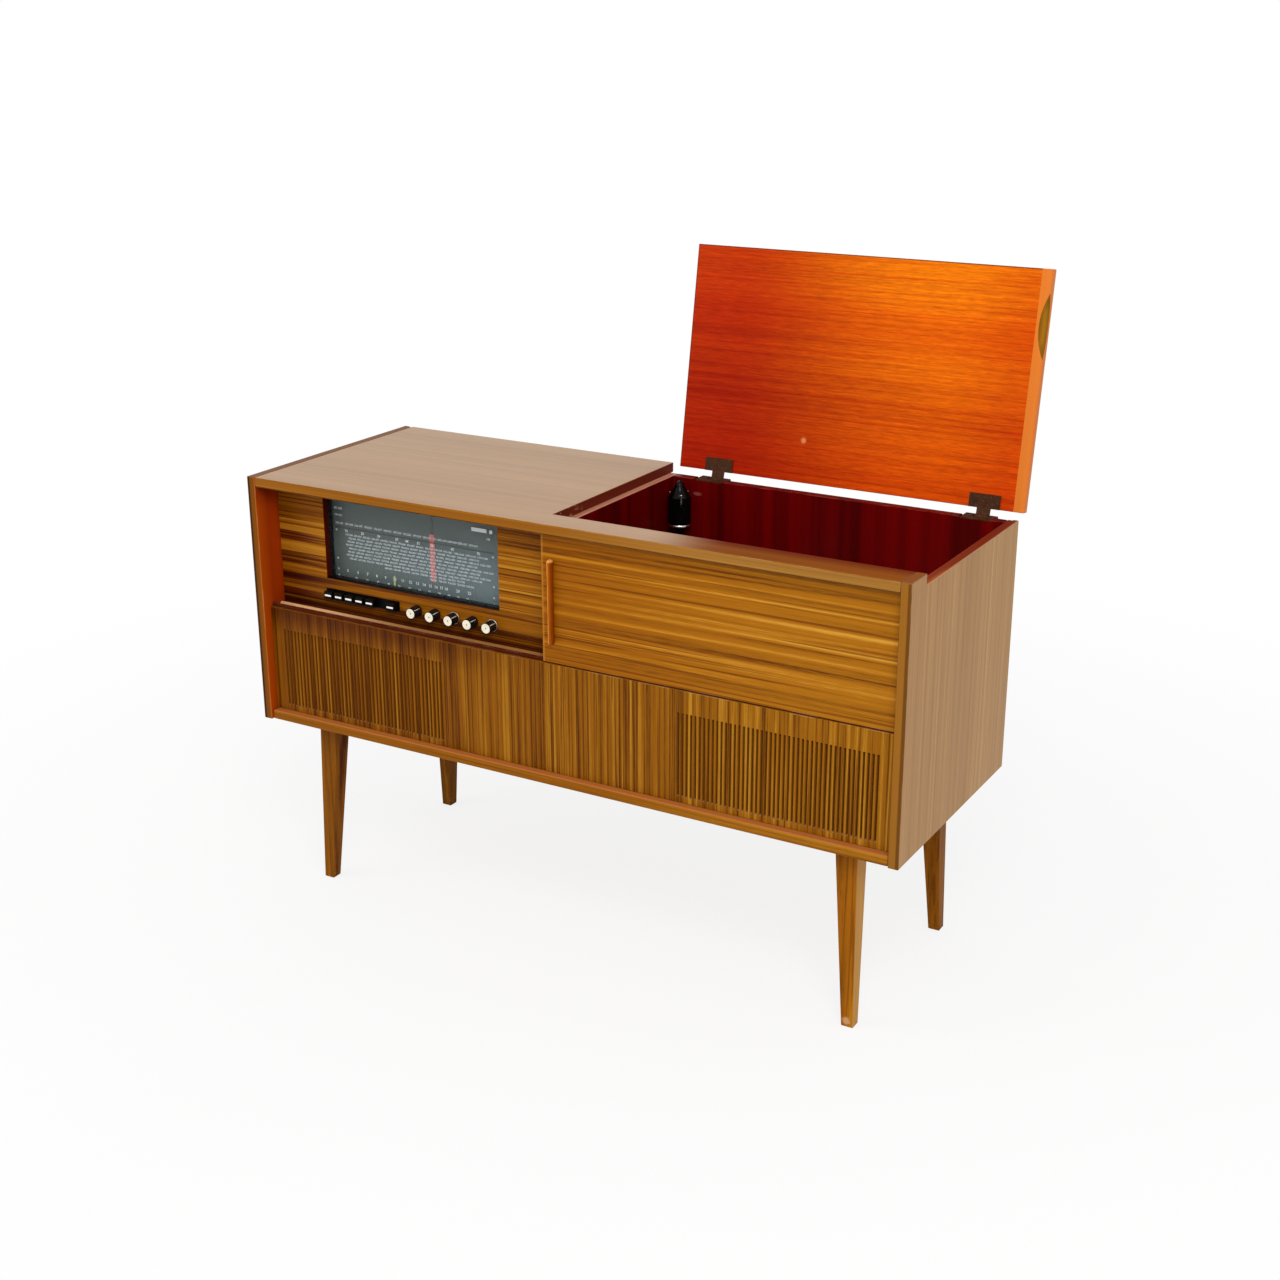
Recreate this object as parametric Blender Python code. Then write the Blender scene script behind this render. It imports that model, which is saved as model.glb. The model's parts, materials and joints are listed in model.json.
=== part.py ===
"""A radio phonograph console of the late 1960s, built piece by piece.

Metres, +Z up, front facing -Y. The origin lies on the floor under the middle of the box that holds the
console with its lid open. Pieces are described in the cabinet frame: x from the cabinet's middle, y back
from the front edges of the sides, z up from the floor. One empty carries that frame to its place.
"""

import math

import bmesh
import bpy
from mathutils import Matrix, Vector

for old_object in list(bpy.data.objects):
    bpy.data.objects.remove(old_object, do_unlink=True)

# Cabinet boards
CABINET_WIDTH = 1.150
CABINET_DEPTH = 0.422
CABINET_HEIGHT = 0.419
BOARD = 0.016
PANEL = 0.012
BACK_BOARD = 0.004
BACK_REBATE = 0.008
BACK_TOP_GAP = 0.0055
BOTTOM_SETBACK = 0.003
BOARD_EDGE = 0.0008
BOTTOM_EDGE = 0.003
SEAT = 0.0003

# Legs: square, tapered and slightly splayed
LEG_HEIGHT = 0.296
LEG_TOP = 0.036
LEG_FOOT = 0.019
LEG_END_INSET = 0.081
LEG_FRONT_INSET = 0.046
LEG_REAR_INSET = 0.023
LEG_SPLAY = 0.006

# Loudspeaker bay
SHELF_HEIGHT = 0.191
BAFFLE_SETBACK = 0.016
BAFFLE_LIP = 0.004
GRILLE_SLOTS = 45
GRILLE_PITCH = 0.0072
GRILLE_SLOT = 0.0036
GRILLE_END_MARGIN = 0.0255
GRILLE_FOOT_MARGIN = 0.010
GRILLE_HEAD_MARGIN = 0.035
CLOTH = 0.0012
CLOTH_OVERLAP = 0.008
SPEAKER_HALF_WIDTH = 0.088
SPEAKER_HALF_HEIGHT = 0.064
SPEAKER_DEPTH = 0.058
MAGNET_RADIUS = 0.036

# Lid, well and hinges
FIXED_TOP_LENGTH = 0.5535
STRIP_DEPTH = 0.0535
STRIP_BEARING = 0.002
LID_GAP = 0.0015
LID_SEAT_GAP = 0.0005
LID_LEDGE = 0.0105
LID_REAR_SETBACK = 0.003
LID_OPEN_DEGREES = 99.6
SCOOP_LENGTH = 0.108
SCOOP_REACH = 0.014
SCOOP_DEPTH = 0.010
SCOOP_FROM_FRONT = 0.085
HINGE_LEFT_INSET = 0.075
HINGE_RIGHT_INSET = 0.0625
HINGE_WIDTH = 0.050
HINGE_LEAF = 0.0015
HINGE_LID_LEAF_LENGTH = 0.022
HINGE_TAB_WIDTH = 0.022
HINGE_BACK = 0.0105
HINGE_BARREL_RADIUS = 0.0044
HINGE_PIN_RADIUS = 0.0017
HINGE_PIN_PROUD = 0.0015
HINGE_CLEARANCE = 0.0004

# Sliding door
DOOR_LENGTH = 0.578
DOOR_GAP = 0.003
DOOR_END_GAP = 0.0008
RAIL_WIDTH = 0.003
RAIL_HEIGHT = 0.006
RAIL_CLEARANCE = 0.0005
HANDLE_WIDTH = 0.009
HANDLE_DEPTH = 0.010
HANDLE_LENGTH = 0.134
HANDLE_FROM_EDGE = 0.018
HANDLE_DROP = 0.004

# Radio fascia and dial, measured from the left side's inner face and from the shelf
DIAL_LEFT = 0.095
DIAL_WIDTH = 0.3415
DIAL_SILL = 0.059
DIAL_HEAD = 0.017
BEZEL_RIM = 0.008
BEZEL_DEPTH = 0.010
GLASS = 0.003
SCALE_PLATE = 0.002
POINTER_ROOM = 0.005
POINTER_THICKNESS = 0.0014
MW_POINTER_PLACE = 0.1945
MW_POINTER_WIDTH = 0.009
MW_POINTER_LENGTH = 0.0785
MW_POINTER_FOOT = 0.016
POINTER_STEM = 0.0025
FM_POINTER_PLACE = 0.116
FM_POINTER_WIDTH = 0.0035
FM_POINTER_LENGTH = 0.014

# Keys and knobs
CONTROL_ROW_HEIGHT = 0.0335
KEY_SLOT_LEFT = 0.0925
KEY_PITCH = 0.0211
KEY_PLACES = (0, 1, 2, 3, 4, 6)
KEY_PLACE_COUNT = 7
KEY_WIDTH = 0.017
KEY_HEIGHT = 0.013
KEY_REACH = 0.012
KEY_TAIL = 0.040
KEY_CLEARANCE = 0.0004
KEY_SLOT_RIM = 0.001
KEY_SLOT_HEIGHT = 0.018
KEY_FRAME_DEPTH = 0.025
KEY_FRAME_RECESS = 0.001
KNOB_FIRST = 0.2778
KNOB_PITCH = 0.0363
KNOB_DEPTH = 0.020
KNOB_RADIUS = 0.0086
KNOB_FLARE = 0.0007
KNOB_CAP_RADIUS = 0.0079
KNOB_CAP_GROOVE = 0.0006
SHAFT_RADIUS = 0.003
SHAFT_CLEARANCE = 0.0004
FASCIA_HOLE_RADIUS = 0.0045

# Strip along the foot of the fascia
LEDGE_STRIP_DEPTH = 0.0108
LEDGE_STRIP_HEIGHT = 0.0060
LEDGE_STRIP_ROUND = 0.0045

# Chassis behind the radio
CHASSIS_GAP = 0.0485
CHASSIS_LEFT = 0.040
CHASSIS_RIGHT_GAP = 0.032
CHASSIS_HEIGHT = 0.055
CHASSIS_SHEET = 0.002
CHASSIS_REAR_GAP = 0.010
TRANSFORMER_WIDTH = 0.066
TRANSFORMER_DEPTH = 0.050
TRANSFORMER_HEIGHT = 0.056
TRANSFORMER_COIL = 0.012
TRANSFORMER_INSET = 0.060
SOCKET_OPENING_WIDTH = 0.150
SOCKET_OPENING_HEIGHT = 0.030
VENT_WIDTH = 0.006
VENT_HEIGHT = 0.042
VENT_PITCH = 0.016
VENT_COUNT = 18
VENT_ROW_DROPS = (0.040, 0.095)

# Record changer
MOTOR_ROOM = 0.079
DECK_WIDTH = 0.335
DECK_DEPTH = 0.275
DECK_HEIGHT = 0.012
DECK_SHEET = 0.002
DECK_CORNER = 0.025
DECK_RIM = 0.008
DECK_RIGHT_MARGIN = 0.036
CUTOUT_MARGIN = 0.030
PLATTER_SHIFT_X = -0.035
PLATTER_SHIFT_Y = -0.005
PLATTER_RADIUS = 0.128
PLATTER_RIM = 0.010
PLATTER_HEIGHT = 0.016
PLATTER_PLATE = 0.003
PLATTER_GAP = 0.003
MAT_RADIUS = 0.121
MAT_THICKNESS = 0.003
MAT_RIBS = 4
SPINDLE_RADIUS = 0.0036
SPINDLE_RISE = 0.014
BEARING_RADIUS = 0.007
BEARING_CLEARANCE = 0.0004
MOTOR_RADIUS = 0.033
MOTOR_LENGTH = 0.058
PULLEY_RADIUS = 0.004
PULLEY_HOLE_CLEARANCE = 0.003
IDLER_RADIUS = 0.022
IDLER_THICKNESS = 0.005
IDLER_RISE = 0.006
IDLER_PIN_RADIUS = 0.002
IDLER_BOSS_RADIUS = 0.005
DRIVE_DIRECTION_DEGREES = 126.87
POST_FROM_RIGHT = 0.032
POST_FROM_REAR = 0.045
POST_RADIUS = 0.009
POST_HEIGHT = 0.028
GIMBAL_WIDTH = 0.022
GIMBAL_LENGTH = 0.020
GIMBAL_HEIGHT = 0.018
GIMBAL_FLOOR = 0.003
GIMBAL_EAR = 0.004
ARM_LENGTH = 0.208
ARM_RADIUS = 0.004
ARM_PIVOT_RISE = 0.012
ARM_PIN_RADIUS = 0.0016
ARM_WEIGHT_RADIUS = 0.011
ARM_WEIGHT_LENGTH = 0.024
ARM_WEIGHT_START = 0.022
HEAD_WIDTH = 0.018
HEAD_LENGTH = 0.044
HEAD_HEIGHT = 0.010
HEAD_OFFSET_DEGREES = 20.0
ARM_REST_WIDTH = 0.012
ARM_REST_THICKNESS = 0.006
ARM_REST_FROM_PIVOT = 0.140
SELECTOR_RADIUS = 0.014
SELECTOR_HEIGHT = 0.013
SELECTOR_INSET = 0.025
HOLDER_SIDE_INSET = 0.025
HOLDER_REAR_INSET = 0.022
HOLDER_HEIGHT = 0.060
HOLDER_BASE_RADIUS = 0.017
HOLDER_POST_RADIUS = 0.008
HOLDER_RING = 0.004
HOLDER_PEG = 0.012
STACKING_RADIUS = 0.019
STACKING_TOP_GAP = 0.0008

# Levels and planes worked out from the sizes above
HALF_WIDTH = CABINET_WIDTH / 2
INNER = HALF_WIDTH - BOARD
BASE_Z = LEG_HEIGHT
TOP_Z = BASE_Z + CABINET_HEIGHT
UNDER_TOP_Z = TOP_Z - BOARD
LID_SEAT_Z = UNDER_TOP_Z - LID_SEAT_GAP
FLOOR_TOP_Z = BASE_Z + BOARD
SHELF_Z = BASE_Z + SHELF_HEIGHT
BAFFLE_TOP_Z = SHELF_Z + BAFFLE_LIP
BAFFLE_REAR = BAFFLE_SETBACK + PANEL
FASCIA_FRONT = STRIP_DEPTH - STRIP_BEARING
FASCIA_REAR = FASCIA_FRONT + PANEL
INSIDE_REAR = CABINET_DEPTH - BACK_BOARD - 2 * SEAT
WELL_REAR = INSIDE_REAR - BOARD
LID_LEFT = -HALF_WIDTH + FIXED_TOP_LENGTH
DIVIDER_RIGHT = LID_LEFT + LID_LEDGE
DIVIDER_LEFT = DIVIDER_RIGHT - BOARD
LID_FRONT = STRIP_DEPTH + LID_GAP
LID_REAR = CABINET_DEPTH - LID_REAR_SETBACK
BODY_LEAF_TOP = UNDER_TOP_Z - SEAT - HINGE_LEAF - SEAT
HINGE_Y = CABINET_DEPTH + HINGE_BACK
HINGE_Z = BODY_LEAF_TOP - HINGE_BARREL_RADIUS
HINGE_CENTRES = {"left": LID_LEFT + HINGE_LEFT_INSET, "right": HALF_WIDTH - HINGE_RIGHT_INSET}
DOOR_REAR = BAFFLE_SETBACK + PANEL
DOOR_BOTTOM_Z = BAFFLE_TOP_Z + DOOR_GAP
DOOR_TOP_Z = UNDER_TOP_Z - DOOR_GAP
DOOR_RIGHT = INNER - DOOR_END_GAP
DOOR_LEFT = DOOR_RIGHT - DOOR_LENGTH
RAIL_Y = (BAFFLE_SETBACK + DOOR_REAR) / 2
CONTROL_Z = SHELF_Z + CONTROL_ROW_HEIGHT
DIAL_X0 = -INNER + DIAL_LEFT
DIAL_X1 = DIAL_X0 + DIAL_WIDTH
DIAL_Z0 = SHELF_Z + DIAL_SILL
DIAL_Z1 = UNDER_TOP_Z - DIAL_HEAD
BEZEL_REAR = FASCIA_REAR + SEAT + BEZEL_DEPTH
GLASS_REAR = BEZEL_REAR + SEAT + GLASS
SCALE_FRONT = GLASS_REAR + SEAT
SCALE_FLOOR = SCALE_FRONT + POINTER_ROOM
CHASSIS_FRONT = FASCIA_FRONT + CHASSIS_GAP
CHASSIS_REAR = INSIDE_REAR - CHASSIS_REAR_GAP
CHASSIS_X0 = -INNER + CHASSIS_LEFT
CHASSIS_X1 = DIVIDER_LEFT - CHASSIS_RIGHT_GAP
MOTOR_BOARD_Z = SHELF_Z + MOTOR_ROOM
DECK_X = INNER - DECK_RIGHT_MARGIN - DECK_WIDTH / 2
DECK_Y = (FASCIA_REAR + WELL_REAR) / 2
DECK_TOP_Z = MOTOR_BOARD_Z + SEAT + DECK_HEIGHT
PLATTER_X = DECK_X + PLATTER_SHIFT_X
PLATTER_Y = DECK_Y + PLATTER_SHIFT_Y
PLATTER_BOTTOM_Z = DECK_TOP_Z + PLATTER_GAP
PLATTER_TOP_Z = PLATTER_BOTTOM_Z + PLATTER_HEIGHT
MAT_TOP_Z = PLATTER_TOP_Z + SEAT + MAT_THICKNESS
IDLER_OFFSET = PLATTER_RADIUS - PLATTER_RIM - IDLER_RADIUS - BEARING_CLEARANCE
MOTOR_OFFSET = IDLER_OFFSET - IDLER_RADIUS - PULLEY_RADIUS - BEARING_CLEARANCE
DRIVE_X = math.cos(math.radians(DRIVE_DIRECTION_DEGREES))
DRIVE_Y = math.sin(math.radians(DRIVE_DIRECTION_DEGREES))
IDLER_X = PLATTER_X + IDLER_OFFSET * DRIVE_X
IDLER_Y = PLATTER_Y + IDLER_OFFSET * DRIVE_Y
MOTOR_X = PLATTER_X + MOTOR_OFFSET * DRIVE_X
MOTOR_Y = PLATTER_Y + MOTOR_OFFSET * DRIVE_Y
IDLER_Z = DECK_TOP_Z + IDLER_RISE
ARM_X = DECK_X + DECK_WIDTH / 2 - POST_FROM_RIGHT
ARM_Y = DECK_Y + DECK_DEPTH / 2 - POST_FROM_REAR
POST_TOP_Z = DECK_TOP_Z + POST_HEIGHT
ARM_Z = POST_TOP_Z + ARM_PIVOT_RISE
SELECTOR_X = DECK_X - DECK_WIDTH / 2 + SELECTOR_INSET
SELECTOR_Y = DECK_Y - DECK_DEPTH / 2 + SELECTOR_INSET
HOLDER_X = DIVIDER_RIGHT + HOLDER_SIDE_INSET
HOLDER_Y = WELL_REAR - HOLDER_REAR_INSET
HOLDER_TOP_Z = MOTOR_BOARD_Z + SEAT + HOLDER_HEIGHT

# With the lid open its upper rear corner reaches furthest back
LID_OPEN = math.radians(LID_OPEN_DEGREES)
LID_REACH = (LID_FRONT - HINGE_Y) * math.cos(LID_OPEN) + (TOP_Z - HINGE_Z) * math.sin(LID_OPEN)
TOTAL_DEPTH = HINGE_Y + LID_REACH

CUT_MARGIN = 0.002
ROUND_STEPS = 28
WIDE_STEPS = 40
KNOB_STEPS = 20
SCOOP_STEPS = 72
STRIP_STEPS = 4
SMOOTH_ANGLE = math.radians(35)


# Materials
def finish(name, colour, roughness, metallic=0.0, transmission=0.0):
    """Make one Principled material."""
    material = bpy.data.materials.new(name)
    material.use_nodes = True
    shader = material.node_tree.nodes["Principled BSDF"]
    shader.inputs["Base Color"].default_value = (*colour, 1.0)
    shader.inputs["Roughness"].default_value = roughness
    shader.inputs["Metallic"].default_value = metallic
    shader.inputs["Transmission Weight"].default_value = transmission
    return material


LAMINATE = finish("striped_walnut", (0.33, 0.17, 0.055), 0.35)
MAHOGANY = finish("red_mahogany", (0.36, 0.06, 0.012), 0.32)
DARK_MAHOGANY = finish("well_mahogany", (0.12, 0.012, 0.008), 0.4)
TEAK = finish("teak_trim", (0.46, 0.17, 0.035), 0.35)
PLYWOOD = finish("plain_board", (0.45, 0.33, 0.20), 0.7)
HARDBOARD = finish("back_hardboard", (0.20, 0.12, 0.06), 0.8)
CLOTH_BLACK = finish("grille_cloth", (0.02, 0.018, 0.015), 0.9)
BLACK = finish("black_plastic", (0.012, 0.012, 0.012), 0.3)
CREAM = finish("cream_plastic", (0.78, 0.72, 0.60), 0.35)
BRONZE = finish("dark_bronze", (0.07, 0.045, 0.025), 0.4, 0.8)
STEEL = finish("bright_steel", (0.62, 0.62, 0.60), 0.3, 1.0)
CHASSIS_METAL = finish("chassis_zinc", (0.45, 0.46, 0.47), 0.45, 0.9)
DECK_PAINT = finish("deck_grey", (0.42, 0.41, 0.38), 0.4)
RUBBER = finish("rubber", (0.025, 0.025, 0.025), 0.8)
GLASS_CLEAR = finish("dial_glass", (0.75, 0.82, 0.85), 0.05, 0.0, 0.9)
DIAL_BLUE = finish("dial_slate", (0.09, 0.12, 0.14), 0.4)
POINTER_RED = finish("pointer_red", (0.72, 0.10, 0.08), 0.4)
POINTER_YELLOW = finish("pointer_yellow", (0.70, 0.68, 0.15), 0.4)
NYLON = finish("rail_nylon", (0.10, 0.05, 0.03), 0.5)


# Building helpers
PLACES = {}


def frame(name, place, parent=None, turn_x=0.0):
    """Add an empty that carries pieces, and remember where it stands in the cabinet frame."""
    empty = bpy.data.objects.new(name, None)
    bpy.context.collection.objects.link(empty)
    empty.parent = parent
    empty.location = Vector(place) - PLACES.get(parent, Vector((0, 0, 0)))
    empty.rotation_euler = (turn_x, 0.0, 0.0)
    PLACES[empty] = Vector(place)
    return empty


def piece(name, body, material, origin, parent):
    """Turn a bmesh in the cabinet frame into an object whose own origin is the given point."""
    bmesh.ops.recalc_face_normals(body, faces=body.faces)
    bmesh.ops.translate(body, verts=body.verts, vec=-Vector(origin))
    mesh = bpy.data.meshes.new(name)
    body.to_mesh(mesh)
    body.free()
    thing = bpy.data.objects.new(name, mesh)
    bpy.context.collection.objects.link(thing)
    thing.parent = parent
    thing.location = Vector(origin) - PLACES[parent]
    if material:
        mesh.materials.append(material)
    return thing


def smooth(thing):
    """Shade a round piece smooth, with its edges kept sharp."""
    thing.data.shade_smooth()
    thing.data.set_sharp_from_angle(angle=SMOOTH_ANGLE)
    return thing


def soften(thing, width=BOARD_EDGE, segments=1):
    """Break the sharp edges of a board."""
    bevel = thing.modifiers.new("softened edges", "BEVEL")
    bevel.width = width
    bevel.segments = segments
    bevel.limit_method = "ANGLE"
    return thing


def combine(thing, body, operation="DIFFERENCE"):
    """Cut a bmesh in the cabinet frame out of a piece, or join it on."""
    tool = piece(thing.name + "_" + operation.lower(), body, None, PLACES[thing.parent], thing.parent)
    tool.hide_render = True
    tool.display_type = "WIRE"
    modifier = thing.modifiers.new(operation.lower(), "BOOLEAN")
    modifier.operation = operation
    modifier.object = tool
    return thing


def add_box(body, low, high):
    """Add a box between two corners."""
    size = Vector(high) - Vector(low)
    middle = (Vector(high) + Vector(low)) / 2
    matrix = Matrix.Translation(middle) @ Matrix.Diagonal((*size, 1.0))
    bmesh.ops.create_cube(body, size=1.0, matrix=matrix)
    return body


def box(low, high):
    """A bmesh that holds one box."""
    return add_box(bmesh.new(), low, high)


AXIS_ORDER = {"x": "yzx", "y": "xzy", "z": "xyz"}


def add_prism(body, outline, axis, start, end):
    """Extrude a flat outline along an axis. Its points hold the other two coordinates in x, y, z order."""
    first, second, along = ("xyz".index(letter) for letter in AXIS_ORDER[axis])
    corners = []
    for a, b in outline:
        place = [0.0, 0.0, 0.0]
        place[first] = a
        place[second] = b
        place[along] = start
        corners.append(body.verts.new(place))
    face = body.faces.new(corners)
    grown = bmesh.ops.extrude_face_region(body, geom=[face])
    moved = [item for item in grown["geom"] if isinstance(item, bmesh.types.BMVert)]
    step = Vector((0, 0, 0))
    step[along] = end - start
    bmesh.ops.translate(body, verts=moved, vec=step)
    return body


def prism(outline, axis, start, end):
    """A bmesh that holds one extruded outline."""
    return add_prism(bmesh.new(), outline, axis, start, end)


def add_turned(body, profile, centre, direction="z", steps=ROUND_STEPS):
    """Spin (radius, height) points about an axis through centre into a closed body."""
    made = bmesh.new()
    ring = [made.verts.new((radius, 0.0, height)) for radius, height in profile]
    edges = [made.edges.new(pair) for pair in zip(ring, ring[1:])]
    if profile[0][0] > 0.0:
        edges.append(made.edges.new((ring[-1], ring[0])))
    bmesh.ops.spin(made, geom=ring + edges, cent=(0, 0, 0), axis=(0, 0, 1), angle=math.tau, steps=steps)
    bmesh.ops.remove_doubles(made, verts=made.verts, dist=1e-6)
    bmesh.ops.recalc_face_normals(made, faces=made.faces)
    turn = Matrix.Identity(4)
    if direction == "y":
        turn = Matrix.Rotation(-math.pi / 2, 4, "X")
    if direction == "x":
        turn = Matrix.Rotation(math.pi / 2, 4, "Y")
    bmesh.ops.transform(made, matrix=Matrix.Translation(centre) @ turn, verts=made.verts)
    mesh = bpy.data.meshes.new("turned")
    made.to_mesh(mesh)
    made.free()
    body.from_mesh(mesh)
    bpy.data.meshes.remove(mesh)
    return body


def turned(profile, centre, direction="z", steps=ROUND_STEPS):
    """A bmesh that holds one turned body."""
    return add_turned(bmesh.new(), profile, centre, direction, steps)


def add_rod(body, radius, centre, direction, start, end, steps=ROUND_STEPS):
    """Add a plain round rod that runs from start to end along its axis, counted from centre."""
    return add_turned(body, [(0, end), (radius, end), (radius, start), (0, start)], centre, direction, steps)


def rod(radius, centre, direction, start, end, steps=ROUND_STEPS):
    """A bmesh that holds one round rod."""
    return add_rod(bmesh.new(), radius, centre, direction, start, end, steps)


def loft(rings):
    """Skin closed rings of points, with flat ends."""
    body = bmesh.new()
    loops = [[body.verts.new(point) for point in ring] for ring in rings]
    for lower, upper in zip(loops, loops[1:]):
        for index, vert in enumerate(lower):
            after = (index + 1) % len(lower)
            body.faces.new((vert, lower[after], upper[after], upper[index]))
    body.faces.new(loops[0])
    body.faces.new(loops[-1])
    return body


def rounded_outline(x0, y0, x1, y1, radius, corner_steps=6):
    """The outline of a rectangle with round corners."""
    centres = ((x1 - radius, y1 - radius), (x0 + radius, y1 - radius),
               (x0 + radius, y0 + radius), (x1 - radius, y0 + radius))
    points = []
    for quarter, (cx, cy) in enumerate(centres):
        for step in range(corner_steps + 1):
            angle = math.pi / 2 * (quarter + step / corner_steps)
            points.append((cx + radius * math.cos(angle), cy + radius * math.sin(angle)))
    return points


CABINET = frame("console_frame", (0, 0, 0))


def board(name, low, high, material, edge=BOARD_EDGE, segments=1):
    """A softened board, with its origin at its middle."""
    middle = (Vector(low) + Vector(high)) / 2
    return soften(piece(name, box(low, high), material, middle, CABINET), edge, segments)


# Cabinet boards
def side_panel(name, side, outline):
    """One side, with a rebate for the back panel along its inner rear edge."""
    inner = side * INNER
    outer = side * HALF_WIDTH
    panel = piece(name, prism(outline, "x", min(inner, outer), max(inner, outer)), LAMINATE,
                  ((inner + outer) / 2, CABINET_DEPTH / 2, BASE_Z + CABINET_HEIGHT / 2), CABINET)
    soften(panel)
    let_in = sorted((inner - side * CUT_MARGIN, inner + side * BACK_REBATE))
    rebate = box((let_in[0], CABINET_DEPTH - BACK_BOARD - SEAT, BASE_Z - CUT_MARGIN),
                 (let_in[1], CABINET_DEPTH + CUT_MARGIN, TOP_Z + CUT_MARGIN))
    return combine(panel, rebate)


def cabinet_sides():
    """Left side at full height; the right side steps down behind the front strip to carry the lid."""
    full = [(0, BASE_Z), (CABINET_DEPTH, BASE_Z), (CABINET_DEPTH, TOP_Z), (0, TOP_Z)]
    stepped = full[:2] + [(CABINET_DEPTH, LID_SEAT_Z), (STRIP_DEPTH, LID_SEAT_Z), (STRIP_DEPTH, TOP_Z),
                          (0, TOP_Z)]
    side_panel("side_panel_left", -1, full)
    side_panel("side_panel_right", 1, stepped)


def top_and_bottom():
    """The L-shaped top with its front strip, and the bottom board."""
    left = -INNER + SEAT
    right = INNER - SEAT
    outline = [(left, 0), (right, 0), (right, STRIP_DEPTH), (LID_LEFT, STRIP_DEPTH),
               (LID_LEFT, CABINET_DEPTH), (left, CABINET_DEPTH)]
    top = piece("top_board", prism(outline, "z", UNDER_TOP_Z, TOP_Z), LAMINATE,
                ((left + LID_LEFT) / 2, CABINET_DEPTH / 2, TOP_Z - BOARD / 2), CABINET)
    soften(top)
    board("bottom_board", (left, BOTTOM_SETBACK, BASE_Z), (right, INSIDE_REAR, FLOOR_TOP_Z), LAMINATE,
          BOTTOM_EDGE, 3)


def back_panel():
    """Hardboard back with rows of cooling slots and the opening for the aerial sockets."""
    edge = INNER + BACK_REBATE - SEAT
    front = CABINET_DEPTH - BACK_BOARD
    top = UNDER_TOP_Z - BACK_TOP_GAP
    panel = piece("back_panel", box((-edge, front, BASE_Z), (edge, CABINET_DEPTH, top)), HARDBOARD,
                  (0, CABINET_DEPTH - BACK_BOARD / 2, (BASE_Z + top) / 2), CABINET)
    holes = bmesh.new()
    middle = (CHASSIS_X0 + CHASSIS_X1) / 2
    for drop in VENT_ROW_DROPS:
        for index in range(VENT_COUNT):
            x = middle + (index - (VENT_COUNT - 1) / 2) * VENT_PITCH
            add_box(holes, (x - VENT_WIDTH / 2, front - CUT_MARGIN, top - drop - VENT_HEIGHT / 2),
                    (x + VENT_WIDTH / 2, CABINET_DEPTH + CUT_MARGIN, top - drop + VENT_HEIGHT / 2))
    socket_z = SHELF_Z + CHASSIS_HEIGHT / 2
    half_width, half_height = SOCKET_OPENING_WIDTH / 2, SOCKET_OPENING_HEIGHT / 2
    add_box(holes, (middle - half_width, front - CUT_MARGIN, socket_z - half_height),
            (middle + half_width, CABINET_DEPTH + CUT_MARGIN, socket_z + half_height))
    combine(panel, holes)


def legs():
    """Four square legs, tapered and splayed towards the outside."""
    for end, end_name in ((-1, "left"), (1, "right")):
        for front, depth_name in ((True, "front"), (False, "rear")):
            out = -1 if front else 1
            edge_y = LEG_FRONT_INSET if front else CABINET_DEPTH - LEG_REAR_INSET
            edge_x = end * (HALF_WIDTH - LEG_END_INSET)
            rings = []
            for size, splay, z in ((LEG_FOOT, LEG_SPLAY, 0.0), (LEG_TOP, 0.0, BASE_Z - SEAT)):
                x = edge_x + end * splay
                y = edge_y + out * splay
                rings.append([(x, y, z), (x - end * size, y, z), (x - end * size, y - out * size, z),
                              (x, y - out * size, z)])
            name = "leg_" + depth_name + "_" + end_name
            origin = (edge_x - end * LEG_TOP / 2, edge_y - out * LEG_TOP / 2, BASE_Z)
            soften(piece(name, loft(rings), LAMINATE, origin, CABINET))


# Loudspeaker bay
GRILLE_SPAN = (GRILLE_SLOTS - 1) * GRILLE_PITCH + GRILLE_SLOT
GRILLE_OUTER = INNER - GRILLE_END_MARGIN
GRILLE_MIDDLE = GRILLE_OUTER - GRILLE_SPAN / 2
GRILLE_Z0 = FLOOR_TOP_Z + GRILLE_FOOT_MARGIN
GRILLE_Z1 = BAFFLE_TOP_Z - GRILLE_HEAD_MARGIN


def speaker_baffle():
    """The front board below the door, with two fields of narrow upright slots cut right through."""
    baffle = board("speaker_baffle", (-INNER + SEAT, BAFFLE_SETBACK, FLOOR_TOP_Z + SEAT),
                   (INNER - SEAT, BAFFLE_REAR, BAFFLE_TOP_Z), LAMINATE)
    slots = bmesh.new()
    for middle in (-GRILLE_MIDDLE, GRILLE_MIDDLE):
        for index in range(GRILLE_SLOTS):
            x = middle + (index - (GRILLE_SLOTS - 1) / 2) * GRILLE_PITCH
            add_box(slots, (x - GRILLE_SLOT / 2, BAFFLE_SETBACK - CUT_MARGIN, GRILLE_Z0),
                    (x + GRILLE_SLOT / 2, BAFFLE_REAR + CUT_MARGIN, GRILLE_Z1))
    combine(baffle, slots)


def grille_cloth():
    """Dark cloth stretched behind both grilles."""
    reach = GRILLE_OUTER + CLOTH_OVERLAP
    front = BAFFLE_REAR + SEAT
    low = (-reach, front, GRILLE_Z0 - CLOTH_OVERLAP)
    high = (reach, front + CLOTH, GRILLE_Z1 + CLOTH_OVERLAP)
    piece("grille_cloth", box(low, high), CLOTH_BLACK, (Vector(low) + Vector(high)) / 2, CABINET)


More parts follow.
